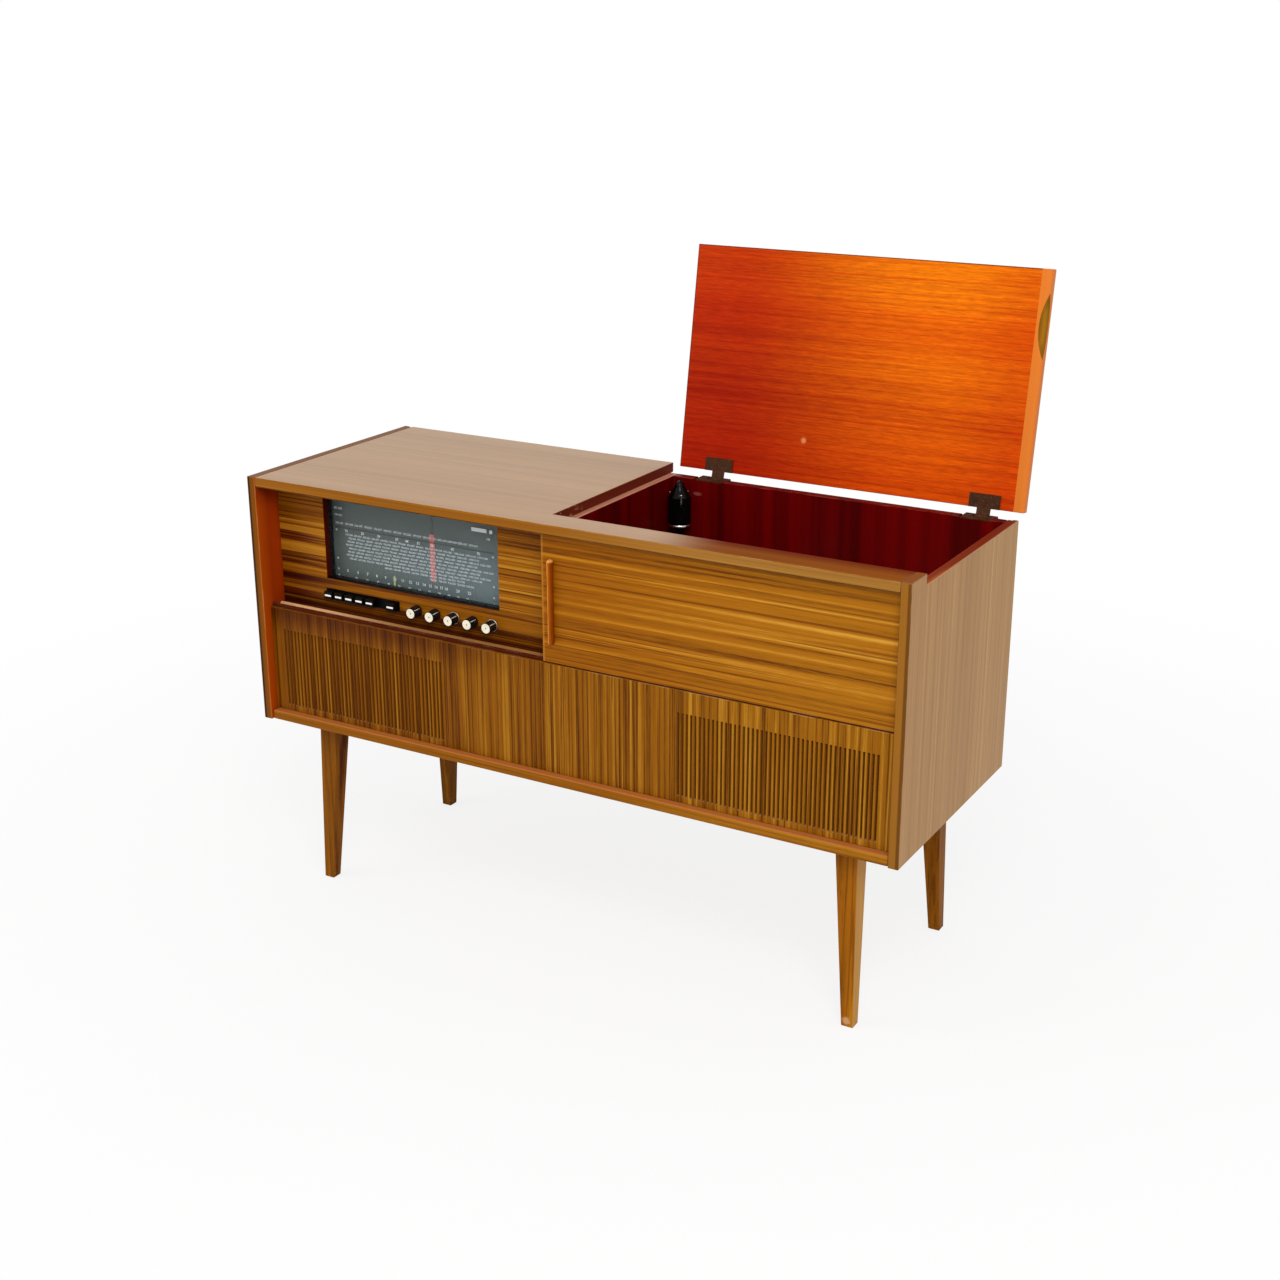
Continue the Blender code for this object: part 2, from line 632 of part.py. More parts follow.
def speakers():
    """Oval loudspeakers: flange, tapered basket and round magnet."""
    front = BAFFLE_REAR + SEAT + CLOTH + SEAT
    z = (GRILLE_Z0 + GRILLE_Z1) / 2
    stations = ((0.0, 1.0, 0.0), (0.003, 1.0, 0.0), (0.004, 0.88, 0.0), (0.55 * SPEAKER_DEPTH, 0.0, 1.0),
                (0.56 * SPEAKER_DEPTH, 0.0, 1.35), (SPEAKER_DEPTH, 0.0, 1.35))
    core = MAGNET_RADIUS / 1.35
    for side, name in ((-1, "speaker_left"), (1, "speaker_right")):
        middle = side * GRILLE_MIDDLE
        rings = []
        for depth, oval, circle in stations:
            half_width = oval * SPEAKER_HALF_WIDTH + circle * core
            half_height = oval * SPEAKER_HALF_HEIGHT + circle * core
            angles = [math.tau * step / ROUND_STEPS for step in range(ROUND_STEPS)]
            rings.append([(middle + half_width * math.cos(angle), front + depth,
                           z + half_height * math.sin(angle)) for angle in angles])
        smooth(piece(name, loft(rings), CHASSIS_METAL, (middle, front, z), CABINET))


def shelf_board():
    """The shelf over the loudspeakers; its front edge is the ledge under the radio."""
    board("shelf_board", (-INNER + SEAT, BAFFLE_REAR + SEAT, SHELF_Z - PANEL),
          (INNER - SEAT, INSIDE_REAR, SHELF_Z), TEAK)


def ledge_strip():
    """The light strip with a rounded front that closes the joint between the shelf and the fascia."""
    low = SHELF_Z + SEAT
    high = low + LEDGE_STRIP_HEIGHT
    rear = FASCIA_FRONT - SEAT
    front = rear - LEDGE_STRIP_DEPTH
    outline = [(rear, low), (rear, high)]
    for step in range(STRIP_STEPS + 1):
        angle = math.pi / 2 * step / STRIP_STEPS
        outline.append((front + LEDGE_STRIP_ROUND * (1 - math.sin(angle)),
                        high - LEDGE_STRIP_ROUND * (1 - math.cos(angle))))
    outline.append((front, low))
    left = -INNER + SEAT
    right = DIVIDER_RIGHT - SEAT
    strip = prism(outline, "x", left, right)
    smooth(piece("ledge_strip", strip, TEAK, ((left + right) / 2, rear, low), CABINET))


# Record well and lid
def well_walls():
    """Divider, front wall, rear wall and motor board."""
    low = SHELF_Z + SEAT
    board("well_divider", (DIVIDER_LEFT, FASCIA_REAR + SEAT, low), (DIVIDER_RIGHT, INSIDE_REAR, LID_SEAT_Z),
          DARK_MAHOGANY)
    board("well_front_wall", (DIVIDER_RIGHT, FASCIA_FRONT, low), (INNER - SEAT, FASCIA_REAR, LID_SEAT_Z),
          DARK_MAHOGANY)
    rear = board("well_rear_wall", (DIVIDER_RIGHT + SEAT, WELL_REAR, low),
                 (INNER - SEAT, INSIDE_REAR, LID_SEAT_Z), DARK_MAHOGANY)
    mortises = bmesh.new()
    half = HINGE_WIDTH / 2 + HINGE_CLEARANCE
    for x in HINGE_CENTRES.values():
        add_box(mortises, (x - half, WELL_REAR - CUT_MARGIN, BODY_LEAF_TOP - HINGE_LEAF - SEAT),
                (x + half, INSIDE_REAR + CUT_MARGIN, UNDER_TOP_Z + CUT_MARGIN))
    combine(rear, mortises)
    floor = board("motor_board", (DIVIDER_RIGHT + SEAT, FASCIA_REAR + SEAT, MOTOR_BOARD_Z - PANEL),
                  (INNER - SEAT, WELL_REAR - SEAT, MOTOR_BOARD_Z), DARK_MAHOGANY)
    half_x = DECK_WIDTH / 2 - CUTOUT_MARGIN
    half_y = DECK_DEPTH / 2 - CUTOUT_MARGIN
    combine(floor, box((DECK_X - half_x, DECK_Y - half_y, MOTOR_BOARD_Z - PANEL - CUT_MARGIN),
                       (DECK_X + half_x, DECK_Y + half_y, MOTOR_BOARD_Z + CUT_MARGIN)))


LID_AXIS = frame("lid_axis", ((LID_LEFT + HALF_WIDTH) / 2, HINGE_Y, HINGE_Z), CABINET, -LID_OPEN)


def lid():
    """The lid, drawn closed and turned open by its axis, with the finger scoop under its right edge."""
    low = (LID_LEFT + LID_GAP, LID_FRONT, UNDER_TOP_Z)
    high = (HALF_WIDTH, LID_REAR, TOP_Z)
    panel = soften(piece("lid", box(low, high), MAHOGANY, PLACES[LID_AXIS], LID_AXIS))
    half = SCOOP_LENGTH / 2
    wide = (half ** 2 + SCOOP_REACH ** 2) / (2 * SCOOP_REACH)
    slope = SCOOP_REACH / SCOOP_DEPTH
    profile = [(0, SCOOP_DEPTH), (wide - SCOOP_REACH, SCOOP_DEPTH), (wide + slope * CUT_MARGIN, -CUT_MARGIN),
               (0, -CUT_MARGIN)]
    centre = (HALF_WIDTH + wide - SCOOP_REACH, LID_FRONT + SCOOP_FROM_FRONT, UNDER_TOP_Z)
    combine(panel, turned(profile, centre, "z", SCOOP_STEPS))


def hinges():
    """Two hinges: a body leaf with two outer knuckles, a lid leaf with the middle one, and a pin."""
    half = HINGE_WIDTH / 2
    tab = HINGE_TAB_WIDTH / 2
    bore = HINGE_PIN_RADIUS + HINGE_CLEARANCE
    lid_top = UNDER_TOP_Z - SEAT
    lid_bottom = lid_top - HINGE_LEAF
    body_bottom = BODY_LEAF_TOP - HINGE_LEAF
    for side, x in HINGE_CENTRES.items():
        pivot = (x, HINGE_Y, HINGE_Z)
        body_leaf = piece("body_hinge_leaf_" + side, box((x - half, WELL_REAR + CUT_MARGIN, body_bottom),
                          (x + half, INSIDE_REAR, BODY_LEAF_TOP)), BRONZE, pivot, CABINET)
        for start, end in ((-half, -tab - HINGE_CLEARANCE), (tab + HINGE_CLEARANCE, half)):
            combine(body_leaf, box((x + start, INSIDE_REAR - CUT_MARGIN, body_bottom),
                                   (x + end, HINGE_Y, BODY_LEAF_TOP)), "UNION")
            combine(body_leaf, rod(HINGE_BARREL_RADIUS, pivot, "x", start, end, 20), "UNION")
        combine(body_leaf, rod(bore, pivot, "x", -half - CUT_MARGIN, half + CUT_MARGIN, 16))
        plate = box((x - half, LID_REAR - HINGE_LID_LEAF_LENGTH, lid_bottom), (x + half, LID_REAR, lid_top))
        lid_leaf = piece("lid_hinge_leaf_" + side, plate, BRONZE, pivot, LID_AXIS)
        neck = [(LID_REAR - CUT_MARGIN, lid_bottom), (LID_REAR - CUT_MARGIN, lid_top), (LID_REAR, lid_top),
                (HINGE_Y, BODY_LEAF_TOP), (HINGE_Y, body_bottom)]
        combine(lid_leaf, prism(neck, "x", x - tab, x + tab), "UNION")
        combine(lid_leaf, rod(HINGE_BARREL_RADIUS, pivot, "x", -tab, tab, 20), "UNION")
        combine(lid_leaf, rod(bore, pivot, "x", -tab - CUT_MARGIN, tab + CUT_MARGIN, 16))
        reach = half + HINGE_PIN_PROUD
        pin = rod(HINGE_PIN_RADIUS, pivot, "x", -reach, reach, 16)
        smooth(piece("hinge_pin_" + side, pin, STEEL, pivot, CABINET))


# Sliding door
def door_rails():
    """Nylon strips that the door's grooves run on, one on the baffle and one under the front strip."""
    left = -INNER + SEAT
    right = INNER - SEAT
    y0 = RAIL_Y - RAIL_WIDTH / 2
    y1 = RAIL_Y + RAIL_WIDTH / 2
    upper = UNDER_TOP_Z - SEAT - RAIL_HEIGHT
    for name, z in (("door_rail_lower", BAFFLE_TOP_Z + SEAT), ("door_rail_upper", upper)):
        strip = box((left, y0, z), (right, y1, z + RAIL_HEIGHT))
        piece(name, strip, NYLON, (0, RAIL_Y, z + RAIL_HEIGHT / 2), CABINET)


def sliding_door():
    """The door, grooved along its upper and lower edges, with its upright handle."""
    front = BAFFLE_SETBACK
    near = RAIL_Y - RAIL_WIDTH / 2 - RAIL_CLEARANCE
    far = RAIL_Y + RAIL_WIDTH / 2 + RAIL_CLEARANCE
    lower_groove = BAFFLE_TOP_Z + SEAT + RAIL_HEIGHT + SEAT
    upper_groove = UNDER_TOP_Z - SEAT - RAIL_HEIGHT - RAIL_CLEARANCE
    outline = [(front, DOOR_BOTTOM_Z), (near, DOOR_BOTTOM_Z), (near, lower_groove), (far, lower_groove),
               (far, DOOR_BOTTOM_Z), (DOOR_REAR, DOOR_BOTTOM_Z), (DOOR_REAR, DOOR_TOP_Z), (far, DOOR_TOP_Z),
               (far, upper_groove), (near, upper_groove), (near, DOOR_TOP_Z), (front, DOOR_TOP_Z)]
    middle_z = (DOOR_BOTTOM_Z + DOOR_TOP_Z) / 2
    door = piece("sliding_door", prism(outline, "x", DOOR_LEFT, DOOR_RIGHT), LAMINATE,
                 ((DOOR_LEFT + DOOR_RIGHT) / 2, RAIL_Y, middle_z), CABINET)
    soften(door, BOARD_EDGE / 2)
    x = DOOR_LEFT + HANDLE_FROM_EDGE
    handle_z = middle_z - HANDLE_DROP
    low = (x - HANDLE_WIDTH / 2, front - SEAT - HANDLE_DEPTH, handle_z - HANDLE_LENGTH / 2)
    high = (x + HANDLE_WIDTH / 2, front - SEAT, handle_z + HANDLE_LENGTH / 2)
    handle = piece("door_handle", box(low, high), TEAK, (x, front, handle_z), CABINET)
    soften(handle, 0.38 * HANDLE_WIDTH, 4)


# Radio
def radio_fascia():
    """The striped board that frames the dial, the keys and the knobs."""
    fascia = board("radio_fascia", (-INNER + SEAT, FASCIA_FRONT, SHELF_Z + SEAT),
                   (DIVIDER_RIGHT - SEAT, FASCIA_REAR, UNDER_TOP_Z - SEAT), LAMINATE)
    front = FASCIA_FRONT - CUT_MARGIN
    rear = FASCIA_REAR + CUT_MARGIN
    holes = box((DIAL_X0, front, DIAL_Z0), (DIAL_X1, rear, DIAL_Z1))
    add_box(holes, (KEY_SLOT_X0, front, CONTROL_Z - KEY_SLOT_HEIGHT / 2),
            (KEY_SLOT_X1, rear, CONTROL_Z + KEY_SLOT_HEIGHT / 2))
    for x in KNOB_CENTRES.values():
        add_rod(holes, FASCIA_HOLE_RADIUS, (x, FASCIA_FRONT, CONTROL_Z), "y", -CUT_MARGIN, PANEL + CUT_MARGIN,
                20)
    combine(fascia, holes)


KEY_SLOT_X0 = -INNER + KEY_SLOT_LEFT
KEY_SLOT_X1 = KEY_SLOT_X0 + KEY_PLACE_COUNT * KEY_PITCH + 2 * KEY_SLOT_RIM
KNOB_NAMES = ("volume_knob", "bass_knob", "treble_knob", "fm_tuning_knob", "mw_tuning_knob")
KNOB_CENTRES = {name: -INNER + KNOB_FIRST + index * KNOB_PITCH for index, name in enumerate(KNOB_NAMES)}


def dial():
    """Black bezel, glass, scale tray and the two pointers that run inside the tray."""
    x0 = DIAL_X0 - BEZEL_RIM
    x1 = DIAL_X1 + BEZEL_RIM
    z0 = DIAL_Z0 - BEZEL_RIM
    z1 = DIAL_Z1 + BEZEL_RIM
    middle_x = (x0 + x1) / 2
    middle_z = (z0 + z1) / 2
    front = FASCIA_REAR + SEAT
    rim = box((x0, front, z0), (x1, BEZEL_REAR, z1))
    bezel = piece("dial_bezel", rim, BLACK, (middle_x, front, middle_z), CABINET)
    combine(bezel, box((DIAL_X0, front - CUT_MARGIN, DIAL_Z0), (DIAL_X1, BEZEL_REAR + CUT_MARGIN, DIAL_Z1)))
    soften(piece("dial_glass", box((x0, BEZEL_REAR + SEAT, z0), (x1, GLASS_REAR, z1)), GLASS_CLEAR,
                 (middle_x, GLASS_REAR, middle_z), CABINET), BOARD_EDGE / 2)
    wall = BEZEL_RIM / 2
    scale = piece("dial_scale", box((x0, SCALE_FRONT, z0), (x1, SCALE_FLOOR + SCALE_PLATE, z1)), DIAL_BLUE,
                  (middle_x, SCALE_FLOOR, middle_z), CABINET)
    combine(scale, box((x0 + wall, SCALE_FRONT - CUT_MARGIN, z0 + wall), (x1 - wall, SCALE_FLOOR, z1 - wall)))
    pointer_front = SCALE_FLOOR - SEAT - POINTER_THICKNESS
    pointer_rear = SCALE_FLOOR - SEAT
    x = DIAL_X0 + MW_POINTER_PLACE
    low = DIAL_Z0 + MW_POINTER_FOOT
    high = low + MW_POINTER_LENGTH
    bar = MW_POINTER_WIDTH / 2
    stem = POINTER_STEM / 2
    outline = [(x - bar, low), (x + bar, low), (x + bar, high), (x + stem, high + bar),
               (x + stem, z1 - wall - SEAT), (x - stem, z1 - wall - SEAT), (x - stem, high + bar),
               (x - bar, high)]
    pointer = prism(outline, "y", pointer_front, pointer_rear)
    piece("mw_pointer", pointer, POINTER_RED, (x, pointer_front, low), CABINET)
    x = DIAL_X0 + FM_POINTER_PLACE
    bar = FM_POINTER_WIDTH / 2
    low = z0 + wall + SEAT
    high = DIAL_Z0 + FM_POINTER_LENGTH
    outline = [(x - bar, low), (x + bar, low), (x + bar, high - bar), (x, high), (x - bar, high - bar)]
    pointer = prism(outline, "y", pointer_front, pointer_rear)
    piece("fm_pointer", pointer, POINTER_YELLOW, (x, pointer_front, low), CABINET)


def keys():
    """Six push keys in their frame; the sixth of the seven places is blank."""
    rim = SEAT
    front = FASCIA_FRONT + KEY_FRAME_RECESS
    rear = front + KEY_FRAME_DEPTH
    half_slot = KEY_SLOT_HEIGHT / 2 - rim
    holder = piece("key_frame", box((KEY_SLOT_X0 + rim, front, CONTROL_Z - half_slot),
                   (KEY_SLOT_X1 - rim, rear, CONTROL_Z + half_slot)), BLACK,
                   ((KEY_SLOT_X0 + KEY_SLOT_X1) / 2, front, CONTROL_Z), CABINET)
    windows = bmesh.new()
    half_x = KEY_WIDTH / 2
    half_z = KEY_HEIGHT / 2
    for number, place in enumerate(KEY_PLACES, 1):
        x = KEY_SLOT_X0 + KEY_SLOT_RIM + (place + 0.5) * KEY_PITCH
        add_box(windows, (x - half_x - KEY_CLEARANCE, front - CUT_MARGIN, CONTROL_Z - half_z - KEY_CLEARANCE),
                (x + half_x + KEY_CLEARANCE, rear + CUT_MARGIN, CONTROL_Z + half_z + KEY_CLEARANCE))
        key = piece("key_" + str(number), box((x - half_x, FASCIA_FRONT - KEY_REACH, CONTROL_Z - half_z),
                    (x + half_x, FASCIA_FRONT + KEY_TAIL, CONTROL_Z + half_z)), BLACK,
                    (x, FASCIA_FRONT, CONTROL_Z), CABINET)
        soften(key, BOARD_EDGE, 2)
    combine(holder, windows)


def knobs():
    """Five knobs: a flared sleeve, an inset cap with a groove round it, and the shaft to the chassis."""
    shaft_end = CHASSIS_FRONT + CHASSIS_SHEET
    for name, x in KNOB_CENTRES.items():
        front = -KNOB_DEPTH
        rear = -2 * SEAT
        tail = shaft_end - FASCIA_FRONT
        groove = KNOB_CAP_RADIUS + KNOB_CAP_GROOVE / 2
        profile = [(0, tail), (SHAFT_RADIUS, tail), (SHAFT_RADIUS, rear), (KNOB_RADIUS + KNOB_FLARE, rear),
                   (KNOB_RADIUS, front + KNOB_CAP_GROOVE), (groove, front + KNOB_CAP_GROOVE / 2),
                   (groove, front + KNOB_CAP_GROOVE), (KNOB_CAP_RADIUS, front + KNOB_CAP_GROOVE / 2),
                   (0.9 * KNOB_CAP_RADIUS, front), (0, front)]
        place = (x, FASCIA_FRONT, CONTROL_Z)
        smooth(piece(name, turned(profile, place, "y", KNOB_STEPS), BLACK, place, CABINET))


def chassis():
    """The folded chassis tray behind the fascia, drilled for the shafts, and the power transformer in it."""
    low = (CHASSIS_X0, CHASSIS_FRONT, SHELF_Z + SEAT)
    high = (CHASSIS_X1, CHASSIS_REAR, SHELF_Z + SEAT + CHASSIS_HEIGHT)
    tray = piece("radio_chassis", box(low, high), CHASSIS_METAL, low, CABINET)
    inside = box([edge + CHASSIS_SHEET for edge in low],
                 (high[0] - CHASSIS_SHEET, high[1] - CHASSIS_SHEET, high[2] + CUT_MARGIN))
    combine(tray, inside)
    drills = bmesh.new()
    for x in KNOB_CENTRES.values():
        add_rod(drills, SHAFT_RADIUS + SHAFT_CLEARANCE, (x, CHASSIS_FRONT, CONTROL_Z), "y", -CUT_MARGIN,
                CHASSIS_SHEET + CUT_MARGIN, 16)
    combine(tray, drills)
    x = CHASSIS_X0 + TRANSFORMER_INSET
    y = CHASSIS_REAR - TRANSFORMER_INSET
    floor = low[2] + CHASSIS_SHEET + SEAT
    core = board("power_transformer", (x - TRANSFORMER_WIDTH / 2, y - TRANSFORMER_DEPTH / 4, floor),
                 (x + TRANSFORMER_WIDTH / 2, y + TRANSFORMER_DEPTH / 4, floor + TRANSFORMER_HEIGHT),
                 CHASSIS_METAL)
    coil = TRANSFORMER_WIDTH / 2 - TRANSFORMER_COIL
    half_depth = TRANSFORMER_DEPTH / 2
    outline = rounded_outline(x - coil, y - half_depth, x + coil, y + half_depth, TRANSFORMER_COIL / 2)
    winding = prism(outline, "z", floor + TRANSFORMER_COIL, floor + TRANSFORMER_HEIGHT - TRANSFORMER_COIL)
    combine(core, winding, "UNION")


# Record changer
def deck_plate():
    """Pressed deck plate, hollow below, with the tonearm post, arm rest and idler pin standing on it."""
    half_x = DECK_WIDTH / 2
    half_y = DECK_DEPTH / 2
    bottom = MOTOR_BOARD_Z + SEAT
    outline = rounded_outline(DECK_X - half_x, DECK_Y - half_y, DECK_X + half_x, DECK_Y + half_y, DECK_CORNER)
    slab = prism(outline, "z", bottom, DECK_TOP_Z)
    deck = piece("deck_plate", slab, DECK_PAINT, (DECK_X, DECK_Y, bottom), CABINET)
    inner_x, inner_y = half_x - DECK_RIM, half_y - DECK_RIM
    hollow = rounded_outline(DECK_X - inner_x, DECK_Y - inner_y, DECK_X + inner_x, DECK_Y + inner_y,
                             DECK_CORNER - DECK_RIM)
    under = DECK_TOP_Z - DECK_SHEET
    combine(deck, prism(hollow, "z", bottom - CUT_MARGIN, under))
    holes = rod(BEARING_RADIUS + BEARING_CLEARANCE, (PLATTER_X, PLATTER_Y, under), "z", -CUT_MARGIN,
                DECK_SHEET + CUT_MARGIN, 24)
    add_rod(holes, PULLEY_RADIUS + PULLEY_HOLE_CLEARANCE, (MOTOR_X, MOTOR_Y, under), "z", -CUT_MARGIN,
            DECK_SHEET + CUT_MARGIN, 20)
    combine(deck, holes)
    sunk = -DECK_SHEET / 2
    combine(deck, rod(POST_RADIUS, (ARM_X, ARM_Y, DECK_TOP_Z), "z", sunk, POST_HEIGHT, 24), "UNION")
    pin_top = IDLER_RISE + IDLER_THICKNESS + CUT_MARGIN
    stub = [(0, pin_top), (IDLER_PIN_RADIUS, pin_top), (IDLER_PIN_RADIUS, IDLER_RISE - SEAT),
            (IDLER_BOSS_RADIUS, IDLER_RISE - SEAT), (IDLER_BOSS_RADIUS, sunk), (0, sunk)]
    combine(deck, turned(stub, (IDLER_X, IDLER_Y, DECK_TOP_Z), "z", 20), "UNION")
    rest_y = ARM_Y - ARM_REST_FROM_PIVOT
    combine(deck, box((ARM_X - ARM_REST_WIDTH / 2, rest_y - ARM_REST_THICKNESS / 2, DECK_TOP_Z + sunk),
                      (ARM_X + ARM_REST_WIDTH / 2, rest_y + ARM_REST_THICKNESS / 2,
                       ARM_Z - ARM_RADIUS - SEAT)), "UNION")


def platter_and_mat():
    """Turned platter, hollow below, with bearing and record spindle, and the ribbed mat on it."""
    place = (PLATTER_X, PLATTER_Y, PLATTER_BOTTOM_Z)
    top = PLATTER_HEIGHT
    roof = top - PLATTER_PLATE
    inner = PLATTER_RADIUS - PLATTER_RIM
    bearing_end = -PLATTER_GAP - DECK_SHEET
    tip = top + SEAT + MAT_THICKNESS + SPINDLE_RISE
    profile = [(0, tip), (0.6 * SPINDLE_RADIUS, tip - 0.3 * SPINDLE_RADIUS),
               (SPINDLE_RADIUS, tip - SPINDLE_RADIUS), (SPINDLE_RADIUS, top),
               (PLATTER_RADIUS - BOARD_EDGE, top), (PLATTER_RADIUS, top - BOARD_EDGE), (PLATTER_RADIUS, 0),
               (inner, 0), (inner, roof), (BEARING_RADIUS, roof), (BEARING_RADIUS, bearing_end),
               (0, bearing_end)]
    smooth(piece("platter", turned(profile, place, "z", WIDE_STEPS), STEEL, place, CABINET))
    base = top + SEAT
    face = base + MAT_THICKNESS
    hole = SPINDLE_RADIUS + BEARING_CLEARANCE
    step = (MAT_RADIUS - 5 * hole) / MAT_RIBS
    ridge = [(hole, face)]
    for index in range(MAT_RIBS):
        radius = 5 * hole + index * step
        dip = face - MAT_THICKNESS / 3
        ridge += [(radius, face), (radius + 0.1 * step, dip), (radius + 0.35 * step, dip),
                  (radius + 0.45 * step, face)]
    ridge += [(MAT_RADIUS, face), (MAT_RADIUS, base), (hole, base)]
    smooth(piece("platter_mat", turned(ridge, place, "z", WIDE_STEPS), RUBBER, place, CABINET))


def drive():
    """The motor under the deck with its pulley, and the rubber idler wheel inside the platter's rim."""
    hang = DECK_TOP_Z - DECK_SHEET - SEAT
    place = (MOTOR_X, MOTOR_Y, hang)
    pulley_top = DECK_SHEET + IDLER_RISE + IDLER_THICKNESS + CUT_MARGIN
    profile = [(0, pulley_top), (PULLEY_RADIUS, pulley_top), (PULLEY_RADIUS, 0),
               (MOTOR_RADIUS - BOARD_EDGE, 0), (MOTOR_RADIUS, -BOARD_EDGE),
               (MOTOR_RADIUS, BOARD_EDGE - MOTOR_LENGTH),
               (MOTOR_RADIUS - BOARD_EDGE, -MOTOR_LENGTH), (0, -MOTOR_LENGTH)]
    smooth(piece("drive_motor", turned(profile, place), CHASSIS_METAL, place, CABINET))
    place = (IDLER_X, IDLER_Y, IDLER_Z)
    bore = IDLER_PIN_RADIUS + BEARING_CLEARANCE
    tyre = IDLER_THICKNESS / 4
    web = IDLER_RADIUS - 2 * tyre
    profile = [(bore, IDLER_THICKNESS), (2 * bore, IDLER_THICKNESS), (2 * bore, IDLER_THICKNESS - tyre),
               (web, IDLER_THICKNESS - tyre), (web, IDLER_THICKNESS), (IDLER_RADIUS - tyre, IDLER_THICKNESS),
               (IDLER_RADIUS, IDLER_THICKNESS - tyre), (IDLER_RADIUS, tyre), (IDLER_RADIUS - tyre, 0),
               (bore, 0)]
    smooth(piece("idler_wheel", turned(profile, place), RUBBER, place, CABINET))


ARM_AXIS = frame("arm_axis", (ARM_X, ARM_Y, ARM_Z), CABINET)


def tonearm():
    """Gimbal that turns on the post, and the arm that lifts in it: tube, angled head and weight."""
    half = GIMBAL_WIDTH / 2
    base = POST_TOP_Z + SEAT
    ear = half - GIMBAL_EAR
    outline = [(ARM_X - half, base), (ARM_X + half, base), (ARM_X + half, base + GIMBAL_HEIGHT),
               (ARM_X + ear, base + GIMBAL_HEIGHT), (ARM_X + ear, base + GIMBAL_FLOOR),
               (ARM_X - ear, base + GIMBAL_FLOOR), (ARM_X - ear, base + GIMBAL_HEIGHT),
               (ARM_X - half, base + GIMBAL_HEIGHT)]
    pivot = (ARM_X, ARM_Y, ARM_Z)
    fork = prism(outline, "y", ARM_Y - GIMBAL_LENGTH / 2, ARM_Y + GIMBAL_LENGTH / 2)
    gimbal = piece("tonearm_gimbal", fork, STEEL, pivot, ARM_AXIS)
    bearing = ARM_PIN_RADIUS + BEARING_CLEARANCE
    combine(gimbal, rod(bearing, pivot, "x", -half - CUT_MARGIN, half + CUT_MARGIN, 16))
    tail = ARM_WEIGHT_START + ARM_WEIGHT_LENGTH
    weight_edge = 2 * BOARD_EDGE
    profile = [(0, tail), (ARM_WEIGHT_RADIUS - weight_edge, tail), (ARM_WEIGHT_RADIUS, tail - weight_edge),
               (ARM_WEIGHT_RADIUS, ARM_WEIGHT_START + weight_edge),
               (ARM_WEIGHT_RADIUS - weight_edge, ARM_WEIGHT_START), (ARM_RADIUS, ARM_WEIGHT_START),
               (ARM_RADIUS, HEAD_LENGTH / 2 - ARM_LENGTH), (0, HEAD_LENGTH / 2 - ARM_LENGTH)]
    arm = smooth(piece("tonearm", turned(profile, pivot, "y", 20), STEEL, pivot, ARM_AXIS))
    combine(arm, rod(ARM_PIN_RADIUS, pivot, "x", -half, half, 16), "UNION")
    head = rounded_outline(-HEAD_WIDTH / 2, -HEAD_LENGTH / 2, HEAD_WIDTH / 2, HEAD_LENGTH / 2,
                           HEAD_WIDTH / 4, 3)
    turn = math.radians(-HEAD_OFFSET_DEGREES)
    outline = [(ARM_X + x * math.cos(turn) - y * math.sin(turn),
                ARM_Y - ARM_LENGTH + x * math.sin(turn) + y * math.cos(turn)) for x, y in head]
    combine(arm, prism(outline, "z", ARM_Z - HEAD_HEIGHT, ARM_Z + ARM_RADIUS / 2), "UNION")


def speed_selector():
    """The selector knob at the deck's front corner, with a raised grip bar."""
    place = (SELECTOR_X, SELECTOR_Y, DECK_TOP_Z + SEAT)
    lip = SELECTOR_HEIGHT / 3
    profile = [(0, lip), (SELECTOR_RADIUS - BOARD_EDGE, lip), (SELECTOR_RADIUS, lip - BOARD_EDGE),
               (SELECTOR_RADIUS, 0), (0, 0)]
    knob = smooth(piece("speed_selector", turned(profile, place, "z", 28), BLACK, place, CABINET))
    grip = SELECTOR_RADIUS / 4
    combine(knob, box((SELECTOR_X - grip, SELECTOR_Y - 0.85 * SELECTOR_RADIUS, place[2] + lip / 2),
                      (SELECTOR_X + grip, SELECTOR_Y + 0.85 * SELECTOR_RADIUS, place[2] + SELECTOR_HEIGHT)),
            "UNION")


